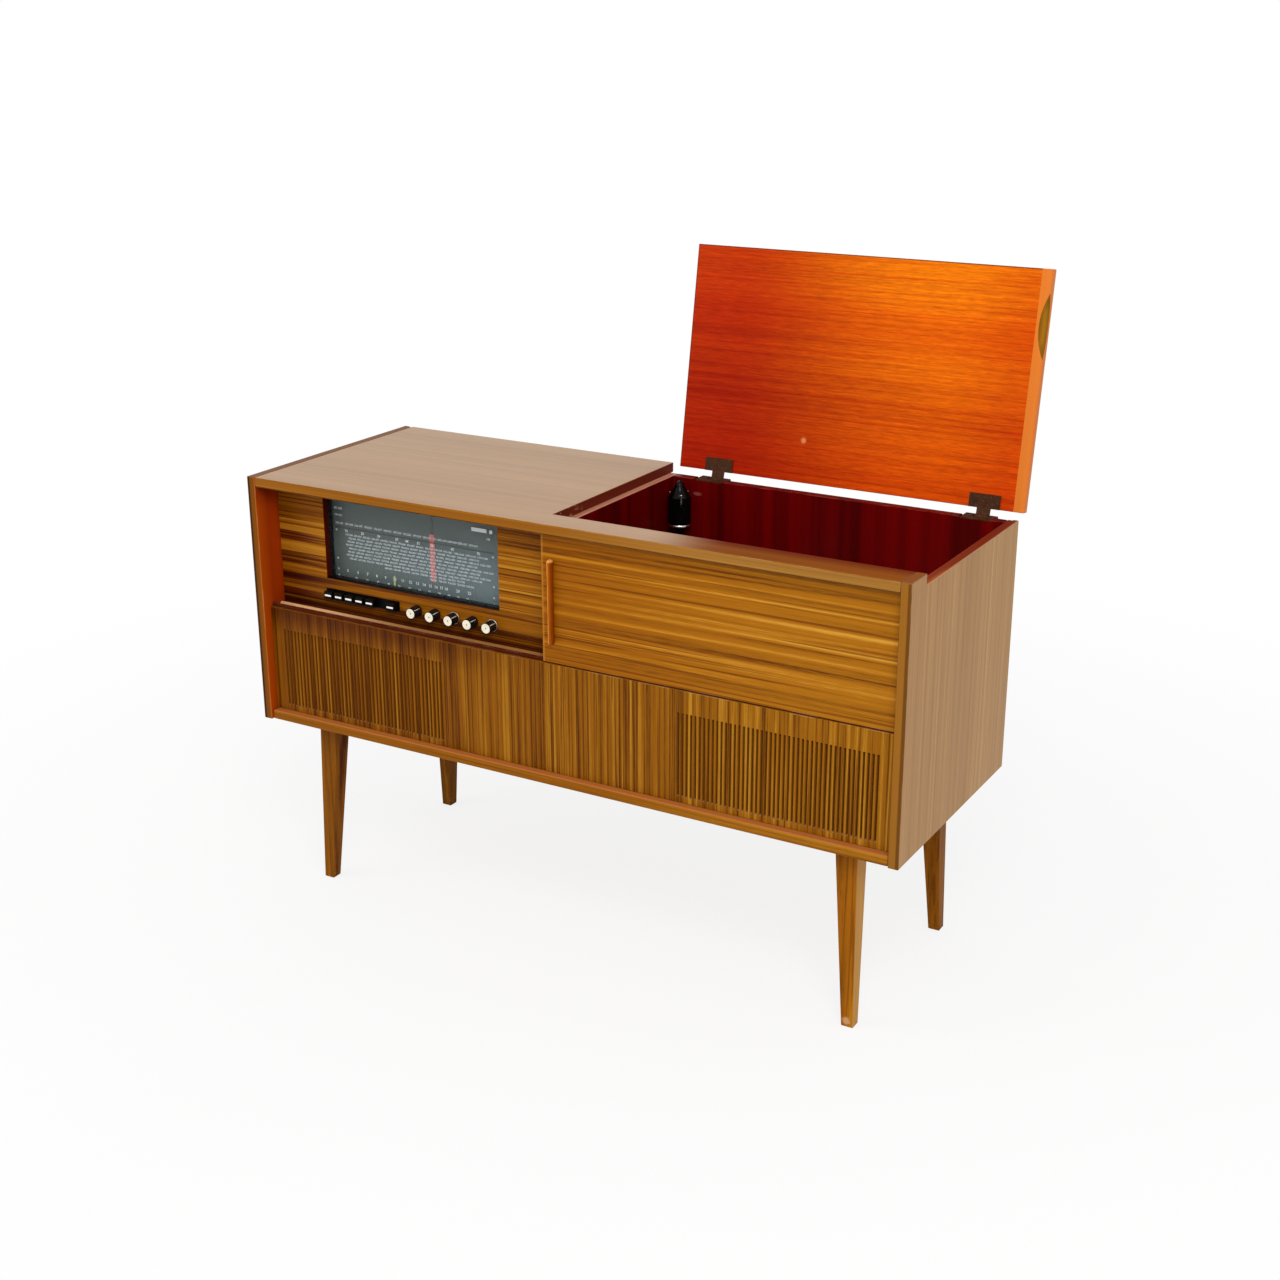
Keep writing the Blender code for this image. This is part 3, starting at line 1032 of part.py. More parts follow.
def stacking_spindle():
    """The holder on the motor board with its bright ring, and the thick spindle that stands on it."""
    place = (HOLDER_X, HOLDER_Y, MOTOR_BOARD_Z + SEAT)
    ring = HOLDER_HEIGHT - HOLDER_RING
    peg_top = HOLDER_HEIGHT + HOLDER_PEG
    peg = HOLDER_POST_RADIUS / 2
    profile = [(0, peg_top), (peg, peg_top), (peg, HOLDER_HEIGHT), (STACKING_RADIUS, HOLDER_HEIGHT),
               (STACKING_RADIUS, ring), (HOLDER_POST_RADIUS, ring), (HOLDER_POST_RADIUS, HOLDER_RING),
               (HOLDER_BASE_RADIUS, HOLDER_RING), (HOLDER_BASE_RADIUS, 0), (0, 0)]
    smooth(piece("spindle_holder", turned(profile, place), STEEL, place, CABINET))
    place = (HOLDER_X, HOLDER_Y, HOLDER_TOP_Z + SEAT)
    length = LID_SEAT_Z - STACKING_TOP_GAP - place[2]
    bore = peg + BEARING_CLEARANCE
    depth = HOLDER_PEG + BEARING_CLEARANCE
    nose = STACKING_RADIUS
    profile = [(0, length), (0.18 * nose, length - 0.03 * nose), (0.32 * nose, length - 0.15 * nose),
               (0.42 * nose, length - 0.40 * nose), (0.55 * nose, length - 0.70 * nose),
               (0.86 * nose, length - 1.15 * nose), (0.93 * nose, length - 1.30 * nose),
               (nose, length - 1.32 * nose), (nose, BOARD_EDGE), (nose - BOARD_EDGE, 0), (bore, 0),
               (bore, depth), (0, depth)]
    smooth(piece("stacking_spindle", turned(profile, place), BLACK, place, CABINET))


cabinet_sides()
top_and_bottom()
back_panel()
legs()
speaker_baffle()
grille_cloth()
speakers()
shelf_board()
ledge_strip()
well_walls()
lid()
hinges()
door_rails()
sliding_door()
radio_fascia()
dial()
keys()
knobs()
chassis()
deck_plate()
platter_and_mat()
drive()
tonearm()
speed_selector()
stacking_spindle()
CABINET.location.y = -TOTAL_DEPTH / 2
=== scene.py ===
"""Dress a radio phonograph console: wood, metal and plastic finishes, and fine pieces over plain solids."""

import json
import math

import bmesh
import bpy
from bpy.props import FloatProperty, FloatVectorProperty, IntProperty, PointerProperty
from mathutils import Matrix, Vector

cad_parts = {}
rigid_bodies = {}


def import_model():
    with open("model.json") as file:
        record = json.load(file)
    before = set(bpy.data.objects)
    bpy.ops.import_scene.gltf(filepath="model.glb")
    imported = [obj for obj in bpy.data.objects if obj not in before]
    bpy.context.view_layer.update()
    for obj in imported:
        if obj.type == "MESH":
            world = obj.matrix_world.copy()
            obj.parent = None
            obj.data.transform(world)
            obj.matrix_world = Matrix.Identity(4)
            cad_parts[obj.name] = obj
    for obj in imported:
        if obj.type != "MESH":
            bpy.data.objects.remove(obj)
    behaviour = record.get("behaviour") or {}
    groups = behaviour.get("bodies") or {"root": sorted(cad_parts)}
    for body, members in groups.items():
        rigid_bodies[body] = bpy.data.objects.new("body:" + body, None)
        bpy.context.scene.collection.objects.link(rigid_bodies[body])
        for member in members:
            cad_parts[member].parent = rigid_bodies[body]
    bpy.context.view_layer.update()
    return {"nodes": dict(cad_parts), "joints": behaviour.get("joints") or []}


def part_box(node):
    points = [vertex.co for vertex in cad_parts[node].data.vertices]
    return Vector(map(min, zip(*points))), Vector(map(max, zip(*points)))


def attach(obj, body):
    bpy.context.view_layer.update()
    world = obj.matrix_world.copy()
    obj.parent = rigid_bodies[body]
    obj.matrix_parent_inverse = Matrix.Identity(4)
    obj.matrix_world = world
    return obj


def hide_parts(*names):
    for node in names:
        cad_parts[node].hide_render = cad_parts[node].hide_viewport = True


bl_info = {
    "name": "Radio phonograph console",
    "version": (1, 0, 0),
    "blender": (4, 5, 0),
    "location": "View3D > Sidebar > Console",
    "description": "Finishes and fine pieces for a radio phonograph console, with its studio",
    "category": "Object",
}

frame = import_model()

# Planes and axes of the console, from the frame
FASCIA_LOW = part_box("radio_fascia")[0]
BAFFLE_LOW, BAFFLE_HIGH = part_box("speaker_baffle")
TOP_LOW, TOP_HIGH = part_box("top_board")
SIDE_LOW, SIDE_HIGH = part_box("side_panel_right")
DIVIDER_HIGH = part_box("well_divider")[1]
GLASS_LOW, GLASS_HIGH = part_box("dial_glass")
JOINTS = {joint["name"]: joint for joint in frame["joints"]}
HINGE = Vector(JOINTS["lid_hinge"]["pos_m"])
LID_TURN = math.radians(JOINTS["lid_hinge"]["range_deg"][1])

# The closed lid's left, front and rear edges, and how deep the strip before it is
LID_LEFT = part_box("lid")[0].x
LID_FRONT = TOP_LOW.y + 0.0550
LID_REAR = HINGE.y - 0.0135
STRIP_DEPTH = 0.0530

# How far the lower ends of the grille slots lie above the baffle's lower edge
SLOT_FOOT = 0.0097

# A scratch on the well's rear wall, and a dent in the lid, drawn closed
SCRATCH = (0.0352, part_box("well_rear_wall")[0].y, 0.6735)
DENT = (0.2004, HINGE.y - 0.0815, TOP_LOW.z)

# Stains, rubbed places, and painted light and shade, beside the settings' colours, as they look on a screen
# Painted sheen: a pale colour laid into the top laminate for the white reflection on it
PAINTED_SHEEN_PALE = (0.77, 0.68, 0.57)
DOOR_LIPPING = (0.74, 0.48, 0.17)
BOTTOM_ARRIS_WEAR_AND_HIGHLIGHT = (0.74, 0.44, 0.22)
DIAL_SILL = (0.09, 0.04, 0.03)
TOP_END = (0.40, 0.14, 0.08)
TOP_EDGE_LEFT = (0.60, 0.37, 0.08)
TOP_EDGE_RIGHT = (0.62, 0.43, 0.18)
# Painted shadow of the lid on the strip before it, deepening towards the rear
STRIP_SHADOW_FRONT = (0.51, 0.28, 0.03)
STRIP_SHADOW_REAR = (0.38, 0.13, 0.02)
LEFT_RIM = (0.20, 0.11, 0.03)
LEFT_LIT = (0.72, 0.42, 0.16)
RIGHT_RIM = (0.30, 0.16, 0.04)
NICHE_MOUTH_LIT = (0.76, 0.35, 0.03)
STEP_RED = (0.38, 0.11, 0.03)
STEP_ARRIS = (0.76, 0.53, 0.37)
LID_RIM = (0.36, 0.17, 0.07)
LID_DENT = (0.94, 0.60, 0.38)
SCOOP_DARK = (0.42, 0.28, 0.04)
SCOOP_LIGHT = (0.62, 0.41, 0.08)
DIVIDER_WEAR_AND_HIGHLIGHT_DARK = (0.68, 0.42, 0.33)
DIVIDER_WEAR_AND_HIGHLIGHT_LIGHT = (0.86, 0.63, 0.51)
WELL_RUBBED = (0.62, 0.34, 0.26)
SCRATCH_PINK = (0.66, 0.34, 0.33)
BRONZE_RUBBED = (0.50, 0.38, 0.24)
DIAL_PALE = (0.47, 0.56, 0.60)
# Painted highlights on the door handle's left edge and upper end
HANDLE_LEFT_HIGHLIGHT = (0.90, 0.60, 0.22)
HANDLE_TOP_HIGHLIGHT = (0.95, 0.66, 0.34)
HOLDER_SHADE = (0.16, 0.12, 0.11)

# Dark and light of the trim round the radio and the door
TRIM = {"shelf_board": ((0.18, 0.05, 0.02), (0.32, 0.12, 0.05)),
        "ledge_strip": ((0.22, 0.06, 0.02), (0.36, 0.12, 0.03)),
        "door_rail_lower": ((0.22, 0.06, 0.01), (0.36, 0.13, 0.03)),
        "door_rail_upper": ((0.14, 0.04, 0.02), (0.26, 0.10, 0.05))}

# Blacks and metals of the small pieces
KEY_BLACK = (0.03, 0.028, 0.026)
BEZEL_BLACK = (0.05, 0.05, 0.055)
KNOB_BLACK = (0.055, 0.055, 0.06)
BRIGHT_STEEL = (0.86, 0.86, 0.84)


# Settings that a user would change
def tint(name, description, red, green, blue):
    """A colour setting, written as it looks on a screen, 0 to 255."""
    return FloatVectorProperty(name=name, description=description, subtype="COLOR_GAMMA", min=0.0, max=1.0,
                               default=(red / 255, green / 255, blue / 255))


def length(name, description, millimetres):
    """A length setting, written in millimetres and kept in metres."""
    return FloatProperty(name=name, description=description, default=millimetres / 1000, unit="LENGTH",
                         precision=5)


def angle(name, description, degrees):
    """An angle setting, written in degrees."""
    return FloatProperty(name=name, description=description, default=math.radians(degrees), subtype="ANGLE")


class ConsoleColours(bpy.types.PropertyGroup):
    """Colours of the console's finishes."""

    walnut_dark: tint("Walnut dark", "Dark lines of the striped walnut", 100, 46, 2)
    walnut_mid: tint("Walnut middle", "Ground of the striped walnut", 178, 105, 8)
    walnut_light: tint("Walnut light", "Light bands of the striped walnut", 214, 146, 36)
    # The sides' pale walnut is painted light: paler where the light falls strongly on the right side
    side_dark: tint("Side dark", "Dark lines of the sun-bleached sides", 132, 84, 24)
    side_mid: tint("Side middle", "Ground of the sun-bleached sides", 173, 121, 48)
    side_light: tint("Side light", "Light bands of the sun-bleached sides", 196, 146, 72)
    lid_dark: tint("Lid dark", "Dark lines of the lid's mahogany", 212, 76, 3)
    lid_mid: tint("Lid middle", "Ground of the lid's mahogany", 252, 132, 6)
    lid_light: tint("Lid light", "Light bands of the lid's mahogany", 253, 150, 16)
    lid_edge: tint("Lid edge", "Solid lipping along the lid's right edge", 230, 126, 46)
    well_dark: tint("Well dark", "Dark stripes of the stained well", 62, 0, 1)
    well_light: tint("Well light", "Light stripes of the stained well", 112, 2, 3)
    niche: tint("Niche", "Red mahogany on the left side's inner face", 163, 54, 4)
    reveal: tint("Reveal", "Stained cut edges in the fascia's openings", 74, 14, 4)
    groove: tint("Groove", "Walls of the grille slots", 144, 86, 22)
    lipping: tint("Lipping", "Light wood of the ledge strip", 170, 116, 62)
    teak: tint("Teak", "The door's handle", 168, 84, 6)
    bare_wood: tint("Bare wood", "Wood that shows where a corner is worn", 222, 170, 120)
    bronze: tint("Bronze", "Hinge leaves", 70, 36, 14)
    dial_ground: tint("Dial ground", "Printed ground of the dial", 82, 91, 85)
    dial_rows: tint("Dial rows", "Close rows of numbers on the dial", 212, 222, 226)
    dial_marks: tint("Dial marks", "Bright numbers and marks on the dial", 240, 246, 246)
    pointer_red: tint("Medium wave pointer", "The red pointer", 236, 116, 108)
    pointer_yellow: tint("FM pointer", "The yellow pointer", 212, 214, 124)
    cream: tint("Cream", "Knob caps", 240, 232, 208)
    key_white: tint("Key white", "Bars on the keys", 246, 244, 236)
    hardboard: tint("Hardboard", "The back panel", 122, 86, 52)
    deck_enamel: tint("Deck enamel", "The record deck", 170, 166, 156)


class ConsoleSizes(bpy.types.PropertyGroup):
    """Sizes of the fine pieces."""

    knob_flutes: IntProperty(name="Knob flutes", description="Flutes round a knob", default=30, min=8,
                             max=60)
    flute_depth: length("Flute depth", "How deep a knob's flutes are", 0.35)
    cap_depth: length("Cap depth", "How far a knob's cap stands out of its sleeve", 0.9)
    collar_width: length("Collar width", "Bright collar round the foot of two knobs", 0.9)
    key_bar_width: length("Key bar width", "White bar on a key", 12.6)
    key_bar_height: length("Key bar height", "White bar on a key", 3.0)
    print_height: length("Print height", "Numbers in the dial's close rows", 4.6)
    print_weight: length("Print weight", "How much the dial's print is thickened", 0.16)
    screw_radius: length("Screw radius", "Screws in the hinges and the back", 2.6)
    mat_ribs: IntProperty(name="Mat ribs", description="Rings on the record mat", default=22, min=4, max=60)


class ConsoleStudio(bpy.types.PropertyGroup):
    """Camera and light."""

    camera_place: FloatVectorProperty(name="Camera place", description="Where the camera stands",
                                      subtype="XYZ", unit="LENGTH", default=(1.4221, -2.41975, 1.4486))
    azimuth: angle("Azimuth", "How far right of the front the camera stands", 30.29)
    elevation: angle("Elevation", "How steeply the camera looks down", 19.47)
    roll: angle("Roll", "How far the camera tips", -0.14)
    lens: FloatProperty(name="Lens", description="Focal length on a 36 mm sensor, in millimetres",
                        default=51.44)
    sky: FloatProperty(name="Sky", description="Strength of the even light from all round", default=0.62)
    key_power: FloatProperty(name="Key power", description="Strength of the main lamp", default=62.0,
                             subtype="POWER")
    fill_power: FloatProperty(name="Fill power", description="Strength of the second lamp", default=22.0,
                              subtype="POWER")


SETTINGS = {"console_colours": ConsoleColours, "console_sizes": ConsoleSizes,
            "console_studio": ConsoleStudio}


def colours():
    """The colour settings of this scene."""
    return bpy.context.scene.console_colours


def sizes():
    """The size settings of this scene."""
    return bpy.context.scene.console_sizes


def linear(colour, share=1.0):
    """A screen colour as the shader wants it, made lighter or darker by a share."""
    parts = [part / 12.92 if part <= 0.04045 else ((part + 0.055) / 1.055) ** 2.4 for part in colour]
    return (*[part * share for part in parts], 1.0)


# How much a dull lacquer, the top's laminate and the strip before the lid shine
DULL = 0.06
TOP_SHEEN = 0.5
STRIP_SHEEN = 0.15


# Finishes
class Finish:
    """One material, built with short calls. Its patterns read Object coordinates, in metres."""

    def __init__(self, name, roughness=0.5, specular=0.5, metallic=0.0):
        self.material = bpy.data.materials.new(name)
        self.material.use_nodes = True
        self.tree = self.material.node_tree
        self.shader = self.tree.nodes["Principled BSDF"]
        self.set(**{"Roughness": roughness, "Specular IOR Level": specular, "Metallic": metallic})
        self.place = self.add("TexCoord").outputs["Object"]

    def add(self, kind, inputs=None, **settings):
        """Add a node, set its options and feed its inputs."""
        made = self.tree.nodes.new("ShaderNode" + kind)
        for name, value in settings.items():
            setattr(made, name, value)
        for name, value in (inputs or {}).items():
            self.feed(made.inputs[name], value)
        return made

    def feed(self, socket, value):
        """Link a socket, or set it."""
        if isinstance(value, bpy.types.NodeSocket):
            self.tree.links.new(value, socket)
        else:
            socket.default_value = value

    def set(self, **inputs):
        """Feed the shader's own sockets."""
        for name, value in inputs.items():
            self.feed(self.shader.inputs[name], value)

    def paint(self, colour):
        """Feed the shader's base colour."""
        self.set(**{"Base Color": colour})

    def painted(self):
        """The base colour as it is fed so far."""
        return self.shader.inputs["Base Color"].links[0].from_socket

    def math(self, operation, first, second=0.0, third=0.0):
        """One sum."""
        return self.add("Math", {0: first, 1: second, 2: third}, operation=operation).outputs[0]

    def both(self, first, second):
        """Where two masks overlap, or one mask at a share of its strength."""
        return self.math("MULTIPLY", first, second)

    def weighed(self, first, share, second):
        """A share of one pattern with the rest of another."""
        return self.math("ADD", self.both(first, share), self.both(second, 1.0 - share))

    def axes(self, vector=None):
        """The three coordinates apart."""
        return self.add("SeparateXYZ", {0: vector or self.place}).outputs

    def mapped(self, scale=(1.0, 1.0, 1.0), move=(0.0, 0.0, 0.0), turn=(0.0, 0.0, 0.0), vector=None):
        """Object coordinates scaled, turned and moved."""
        made = self.add("Mapping", {"Vector": vector or self.place, "Scale": scale, "Rotation": turn,
                                    "Location": move})
        return made.outputs[0]

    def noise(self, scale, detail=2.0, roughness=0.5, vector=None):
        """Cloudy noise from 0 to 1, with so many clouds a metre."""
        made = self.add("TexNoise", {"Vector": vector or self.place, "Scale": scale, "Detail": detail,
                                     "Roughness": roughness})
        return made.outputs["Fac"]

    def spread(self, value, low, high, to_low=0.0, to_high=1.0):
        """Ease a value from one range to another."""
        made = self.add("MapRange", {"Value": value, "From Min": low, "From Max": high, "To Min": to_low,
                                     "To Max": to_high}, interpolation_type="SMOOTHSTEP")
        return made.outputs[0]

    def past(self, value, edge, start, end, strength=1.0):
        """A mask that grows from one distance past an edge to another."""
        return self.spread(value, edge + start, edge + end, 0.0, strength)

    def ramp(self, value, *stops):
        """Colours along a value."""
        made = self.add("ValToRGB", {"Fac": value})
        elements = made.color_ramp.elements
        elements.remove(elements[1])
        elements[0].position, elements[0].color = stops[0]
        for position, colour in stops[1:]:
            elements.new(position).color = colour
        return made.outputs["Color"]

    def tones(self, value, *stops):
        """Screen colours along a value. A stop is a place, a colour and, if not 1, a share of its light."""
        return self.ramp(value, *[(place, linear(*colour)) for place, *colour in stops])

    def mix(self, factor, first, second, blend="MIX"):
        """Lay one colour over another."""
        made = self.add("Mix", {0: factor, 6: first, 7: second}, data_type="RGBA", blend_type=blend)
        return made.outputs[2]

    def times(self, first, second):
        """One colour multiplied by another."""
        return self.mix(1.0, first, second, "MULTIPLY")

    def stain(self, mask, colour, screen, share=1.0):
        """Lay a screen colour over another where a mask is 1."""
        return self.mix(mask, colour, linear(screen, share))

    def shade(self, mask, colour, red, green, blue):
        """Multiply a colour by three shares where a mask is 1."""
        return self.mix(mask, colour, (red, green, blue, 1.0), "MULTIPLY")

    def bump(self, height, strength, distance):
        """Raise the surface a little."""
        made = self.add("Bump", {"Height": height, "Strength": strength, "Distance": distance})
        self.set(Normal=made.outputs[0])

    def edge_distance(self, low, high):
        """How far a point on a board lies from its nearest edge."""
        gaps = []
        for axis, value in enumerate(self.axes()):
            gaps.append(self.math("MINIMUM", self.math("SUBTRACT", value, low[axis]),
                                  self.math("SUBTRACT", high[axis], value)))
        nearer = self.math("MINIMUM", gaps[0], gaps[1])
        farther = self.math("MAXIMUM", gaps[0], gaps[1])
        return self.math("MAXIMUM", nearer, self.math("MINIMUM", farther, gaps[2]))

    def spot(self, centre, radius, vector=None):
        """1 at a point, fading to 0 at a ragged radius from it."""
        away = self.add("VectorMath", {0: vector or self.place, 1: centre}, operation="DISTANCE")
        ragged = self.both(self.noise(900.0, 3.0), radius)
        return self.spread(self.math("SUBTRACT", away.outputs["Value"], ragged), 0.0, radius, 1.0, 0.0)

    def cover(self, mask, shader):
        """Lay another shader over the surface where a mask is 1."""
        surface = self.tree.nodes["Material Output"].inputs["Surface"]
        laid = self.add("MixShader", {0: mask, 1: surface.links[0].from_socket, 2: shader.outputs[0]})
        self.feed(surface, laid.outputs[0])

    def second(self, mask, colour, roughness=0.5, specular=DULL):
        """Another lacquer, with its own colour and sheen, where a mask is 1."""
        self.cover(mask, self.add("BsdfPrincipled", {"Base Color": colour, "Roughness": roughness,
                                                     "Specular IOR Level": specular}))


def dress(finish, *names):
    """Give a finish to CAD nodes or pieces."""
    for name in names:
        thing = frame["nodes"].get(name) or bpy.data.objects[name]
        thing.data.materials.clear()
        thing.data.materials.append(finish.material)


# How much a pattern is drawn out along the grain: stripes, and the short pores between them
GRAIN = {"X": (0.007, 1.0, 1.0), "Y": (1.0, 0.007, 1.0), "Z": (1.0, 1.0, 0.007)}
PORE = {"X": (0.03, 1.0, 1.0), "Y": (1.0, 0.03, 1.0), "Z": (1.0, 1.0, 0.03)}

# Clouds a metre across the grain: broad bands, stripes, thin dark lines and pores
BAND_COUNT = 16.0
STRIPE_COUNT = 95.0
LINE_COUNT = 230.0
PORE_COUNT = 1300.0

# How far a wood's pattern moves along each axis for one step of its seed
SEED_STEP = (0.37, 0.61, 0.83)


def wood_figure(finish, axis, seed, tones, vector=None, stripe=1.0, bands=1.0, pitch=1.0):
    """Colour of straight-grained wood, dark to light: broad bands, stripes and fine lines along one axis."""
    move = [step * seed for step in SEED_STEP]
    grain = finish.mapped(GRAIN[axis], move, vector=vector)
    broad = finish.noise(BAND_COUNT, 1.0, 0.5, grain)
    lines = finish.noise(STRIPE_COUNT * pitch, 3.0, 0.6, grain)
    thin = finish.noise(LINE_COUNT * pitch, 1.0, 0.5, grain)
    pores = finish.noise(PORE_COUNT, 2.0, 0.6, finish.mapped(PORE[axis], move, vector=vector))
    figure = 0.5
    for pattern, share in ((broad, 0.7 * bands), (lines, 1.1 * stripe), (pores, 0.3)):
        figure = finish.math("MULTIPLY_ADD", finish.math("SUBTRACT", pattern, 0.5), share, figure)
    dark, middle, light = tones
    colour = finish.tones(figure, (0.24, dark), (0.42, middle, 0.84), (0.56, middle), (0.76, light))
    streak = finish.spread(thin, 0.42, 0.34)
    colour = finish.stain(finish.both(streak, 0.6 * stripe), colour, dark, 1.15)
    return colour, figure, pores


def wood_surface(finish, colour, figure, pores, roughness=0.36):
    """Colour, pores and sheen of lacquered wood."""
    finish.paint(colour)
    finish.bump(finish.weighed(pores, 0.7, figure), 0.22, 0.00018)
    finish.set(Roughness=finish.spread(figure, 0.1, 0.9, roughness + 0.09, roughness - 0.05))


def worn_edges(finish, colour, low, high, bare, reach=0.0011, share=0.55):
    """Rub the lacquer off along a board's edges, in patches."""
    edge = finish.spread(finish.edge_distance(low, high), 0.0, reach, 1.0, 0.0)
    patches = finish.spread(finish.noise(34.0, 4.0, 0.6), 0.42, 0.66)
    return finish.stain(finish.both(finish.both(edge, patches), share), colour, bare)


def walnut_tones():
    """Dark, middle and light of the striped walnut."""
    tone = colours()
    return tone.walnut_dark, tone.walnut_mid, tone.walnut_light


def walnut(name, axis, seed, specular=DULL, share=1.0, wear=0.5, patina=None, **grain):
    """Striped walnut laminate on one board."""
    finish = Finish("walnut_" + name, specular=specular)
    colour, figure, pores = wood_figure(finish, axis, seed, walnut_tones(), **grain)
    if share != 1.0:
        colour = finish.shade(1.0, colour, share, share, share)
    colour = worn_edges(finish, colour, *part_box(name), colours().bare_wood, share=wear)
    # Marks on the board, and on some boards painted light and shade
    if patina:
        colour = patina(finish, colour)
    wood_surface(finish, colour, figure, pores)
    dress(finish, name)
    return finish


# Grain of the top laminate, on the fixed top and on the lid
TOP_GRAIN = {"stripe": 0.32, "bands": 0.4, "pitch": 1.3}


def bleached(finish, colour):
    """The top laminate's walnut, paled with a painted sheen that stands for the white reflection on its
    lacquer.
    """
    return finish.stain(0.33, finish.shade(1.0, colour, 0.82, 1.0, 0.9), PAINTED_SHEEN_PALE)


# How light each leg is painted beside the door's wood: painted light and shade, lightest at the front right
# and darkest at the rear left
LEG_SHADES = {"leg_front_left": 0.55, "leg_front_right": 0.80, "leg_rear_left": 0.42, "leg_rear_right": 0.60}


class CONSOLE_OT_finish_boards(bpy.types.Operator):
    """Finish the cabinet's boards, door, baffle and legs in striped walnut."""

    bl_idname = "console.finish_boards"
    bl_label = "Finish boards"

    def execute(self, context):
        walnut("sliding_door", "X", 1.0, patina=self.door_patina, stripe=1.1, bands=0.5, pitch=1.2)
        walnut("radio_fascia", "X", 2.3, share=0.71, patina=self.fascia_patina, stripe=1.5, bands=0.8,
               pitch=1.3)
        walnut("speaker_baffle", "Z", 3.1, share=0.60, patina=self.baffle_patina, stripe=1.3, bands=0.2,
               pitch=1.9)
        walnut("bottom_board", "X", 4.7, share=0.60, patina=self.bottom_patina)
        self.top(walnut("top_board", "X", 5.2, specular=TOP_SHEEN, patina=bleached, **TOP_GRAIN))
        # Each leg is painted lighter or darker by its share: painted light and shade
        for index, (name, share) in enumerate(LEG_SHADES.items()):
            walnut(name, "Z", 6.1 + index, share=share, wear=0.3, patina=self.worn_foot(name), stripe=0.8)
        self.sides()
        return {"FINISHED"}

    def door_patina(self, finish, colour):
        """A door painted lighter towards its right end, where the light falls, with a light lipping on its
        left end.
        """
        x = finish.axes()[0]
        # Painted light: the door lightens towards the right, where the light falls
        painted_light_rightward = finish.mix(finish.spread(x, -0.02, 0.50), (0.73, 0.69, 0.4, 1.0), (0.90, 1.01, 1.9, 1.0))
        colour = finish.times(colour, painted_light_rightward)
        lipping = finish.past(x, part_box("sliding_door")[0].x, 0.0045, 0.0020, 0.5)
        return finish.stain(lipping, colour, DOOR_LIPPING)

    def bottom_patina(self, finish, colour):
        """The bottom board's upper arris, rubbed light, with a painted highlight."""
        # Painted highlight with rubbed wear along the upper arris
        arris = finish.past(finish.axes()[2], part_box("bottom_board")[1].z, -0.0022, -0.0008, 0.75)
        return finish.stain(arris, colour, BOTTOM_ARRIS_WEAR_AND_HIGHLIGHT)

    def fascia_patina(self, finish, colour):
        """Red stain in the openings, and painted shade that deepens into the left and lower corners."""
        x, y, z = finish.axes()
        # Painted shade in the left corner, darkest in the grain's dark streaks
        corner = finish.past(x, FASCIA_LOW.x, 0.140, 0.030)
        streaks = finish.noise(75.0, 2.0, 0.5, finish.mapped(GRAIN["X"], (0.2, 0.0, 0.1)))
        dark = finish.both(corner, finish.spread(streaks, 0.45, 0.54))
        colour = finish.shade(dark, colour, 0.34, 0.14, 0.10)
        # Painted shade deepens the left corner and the lower part of the fascia
        deep = finish.math("MAXIMUM", finish.both(corner, 0.45), finish.past(z, FASCIA_LOW.z, 0.050, 0.0))
        colour = finish.shade(deep, colour, 0.52, 0.40, 0.42)
        sill = finish.past(z, GLASS_LOW.z, 0.0110, 0.0085)
        cut = finish.stain(sill, linear(colours().reveal), DIAL_SILL)
        return finish.mix(finish.past(y, FASCIA_LOW.y, 0.0006, 0.0014), colour, cut)

    def baffle_patina(self, finish, colour):
        """Brown walls in the slots, pale at their lower ends with a painted highlight, a painted shadow
        under the ledge in the upper left corner, and painted light growing towards the right.
        """
        tone = colours()
        x, y, z = finish.axes()
        # Painted shadow under the ledge in the upper left corner
        ledge_shadow = finish.both(finish.past(z, BAFFLE_HIGH.z, -0.055, 0.0), finish.spread(x, 0.05, -0.30))
        colour = finish.shade(ledge_shadow, colour, 0.43, 0.30, 0.1)
        # Painted light: lighter towards the right
        painted_light_rightward = finish.mix(finish.spread(x, -0.50, 0.50), (0.82, 0.77, 0.5, 1.0), (1.14, 1.26, 1.6, 1.0))
        colour = finish.times(colour, painted_light_rightward)
        # Painted highlight: the slot walls turn pale at their lower ends, where the slot floors catch the
        # light
        foot = finish.past(z, BAFFLE_LOW.z + SLOT_FOOT, 0.0016, 0.0008)
        groove = finish.times(linear(tone.groove), painted_light_rightward)
        walls = finish.stain(finish.both(foot, 0.6), groove, tone.bare_wood)
        return finish.mix(finish.past(y, BAFFLE_LOW.y, 0.0004, 0.0010), colour, walls)

    def top(self, finish):
        """A strip before the lid browned with the lid's painted shadow, a dull front edge and a dull
        red-brown end at the well.
        """
        x, y, z = finish.axes()
        grain = finish.noise(240.0, 3.0, 0.6, finish.mapped(GRAIN["X"]))
        lines = finish.ramp(grain, (0.34, (0.72, 0.68, 0.62, 1.0)), (0.66, (1.12, 1.12, 1.12, 1.0)))
        # Painted shadow of the lid on the strip's right part, darker towards its rear
        behind = finish.past(y, TOP_LOW.y, 0.022, 0.052)
        brown = finish.stain(behind, linear(STRIP_SHADOW_FRONT), STRIP_SHADOW_REAR)
        strip = finish.both(finish.spread(x, 0.150, 0.280),
                            finish.past(y, TOP_LOW.y + STRIP_DEPTH, 0.0003, 0.0))
        finish.second(strip, finish.times(brown, lines), 0.4, STRIP_SHEEN)
        front = finish.past(y, TOP_LOW.y, 0.0010, 0.0005)
        end = finish.both(finish.past(x, DIVIDER_HIGH.x, -0.0112, -0.0107),
                          finish.past(y, TOP_LOW.y + STRIP_DEPTH, 0.0, 0.0003))
        dull = finish.mix(front, self.top_end(finish, x, y), self.top_edge(finish, x, z, lines))
        finish.second(finish.math("MAXIMUM", front, end), dull)

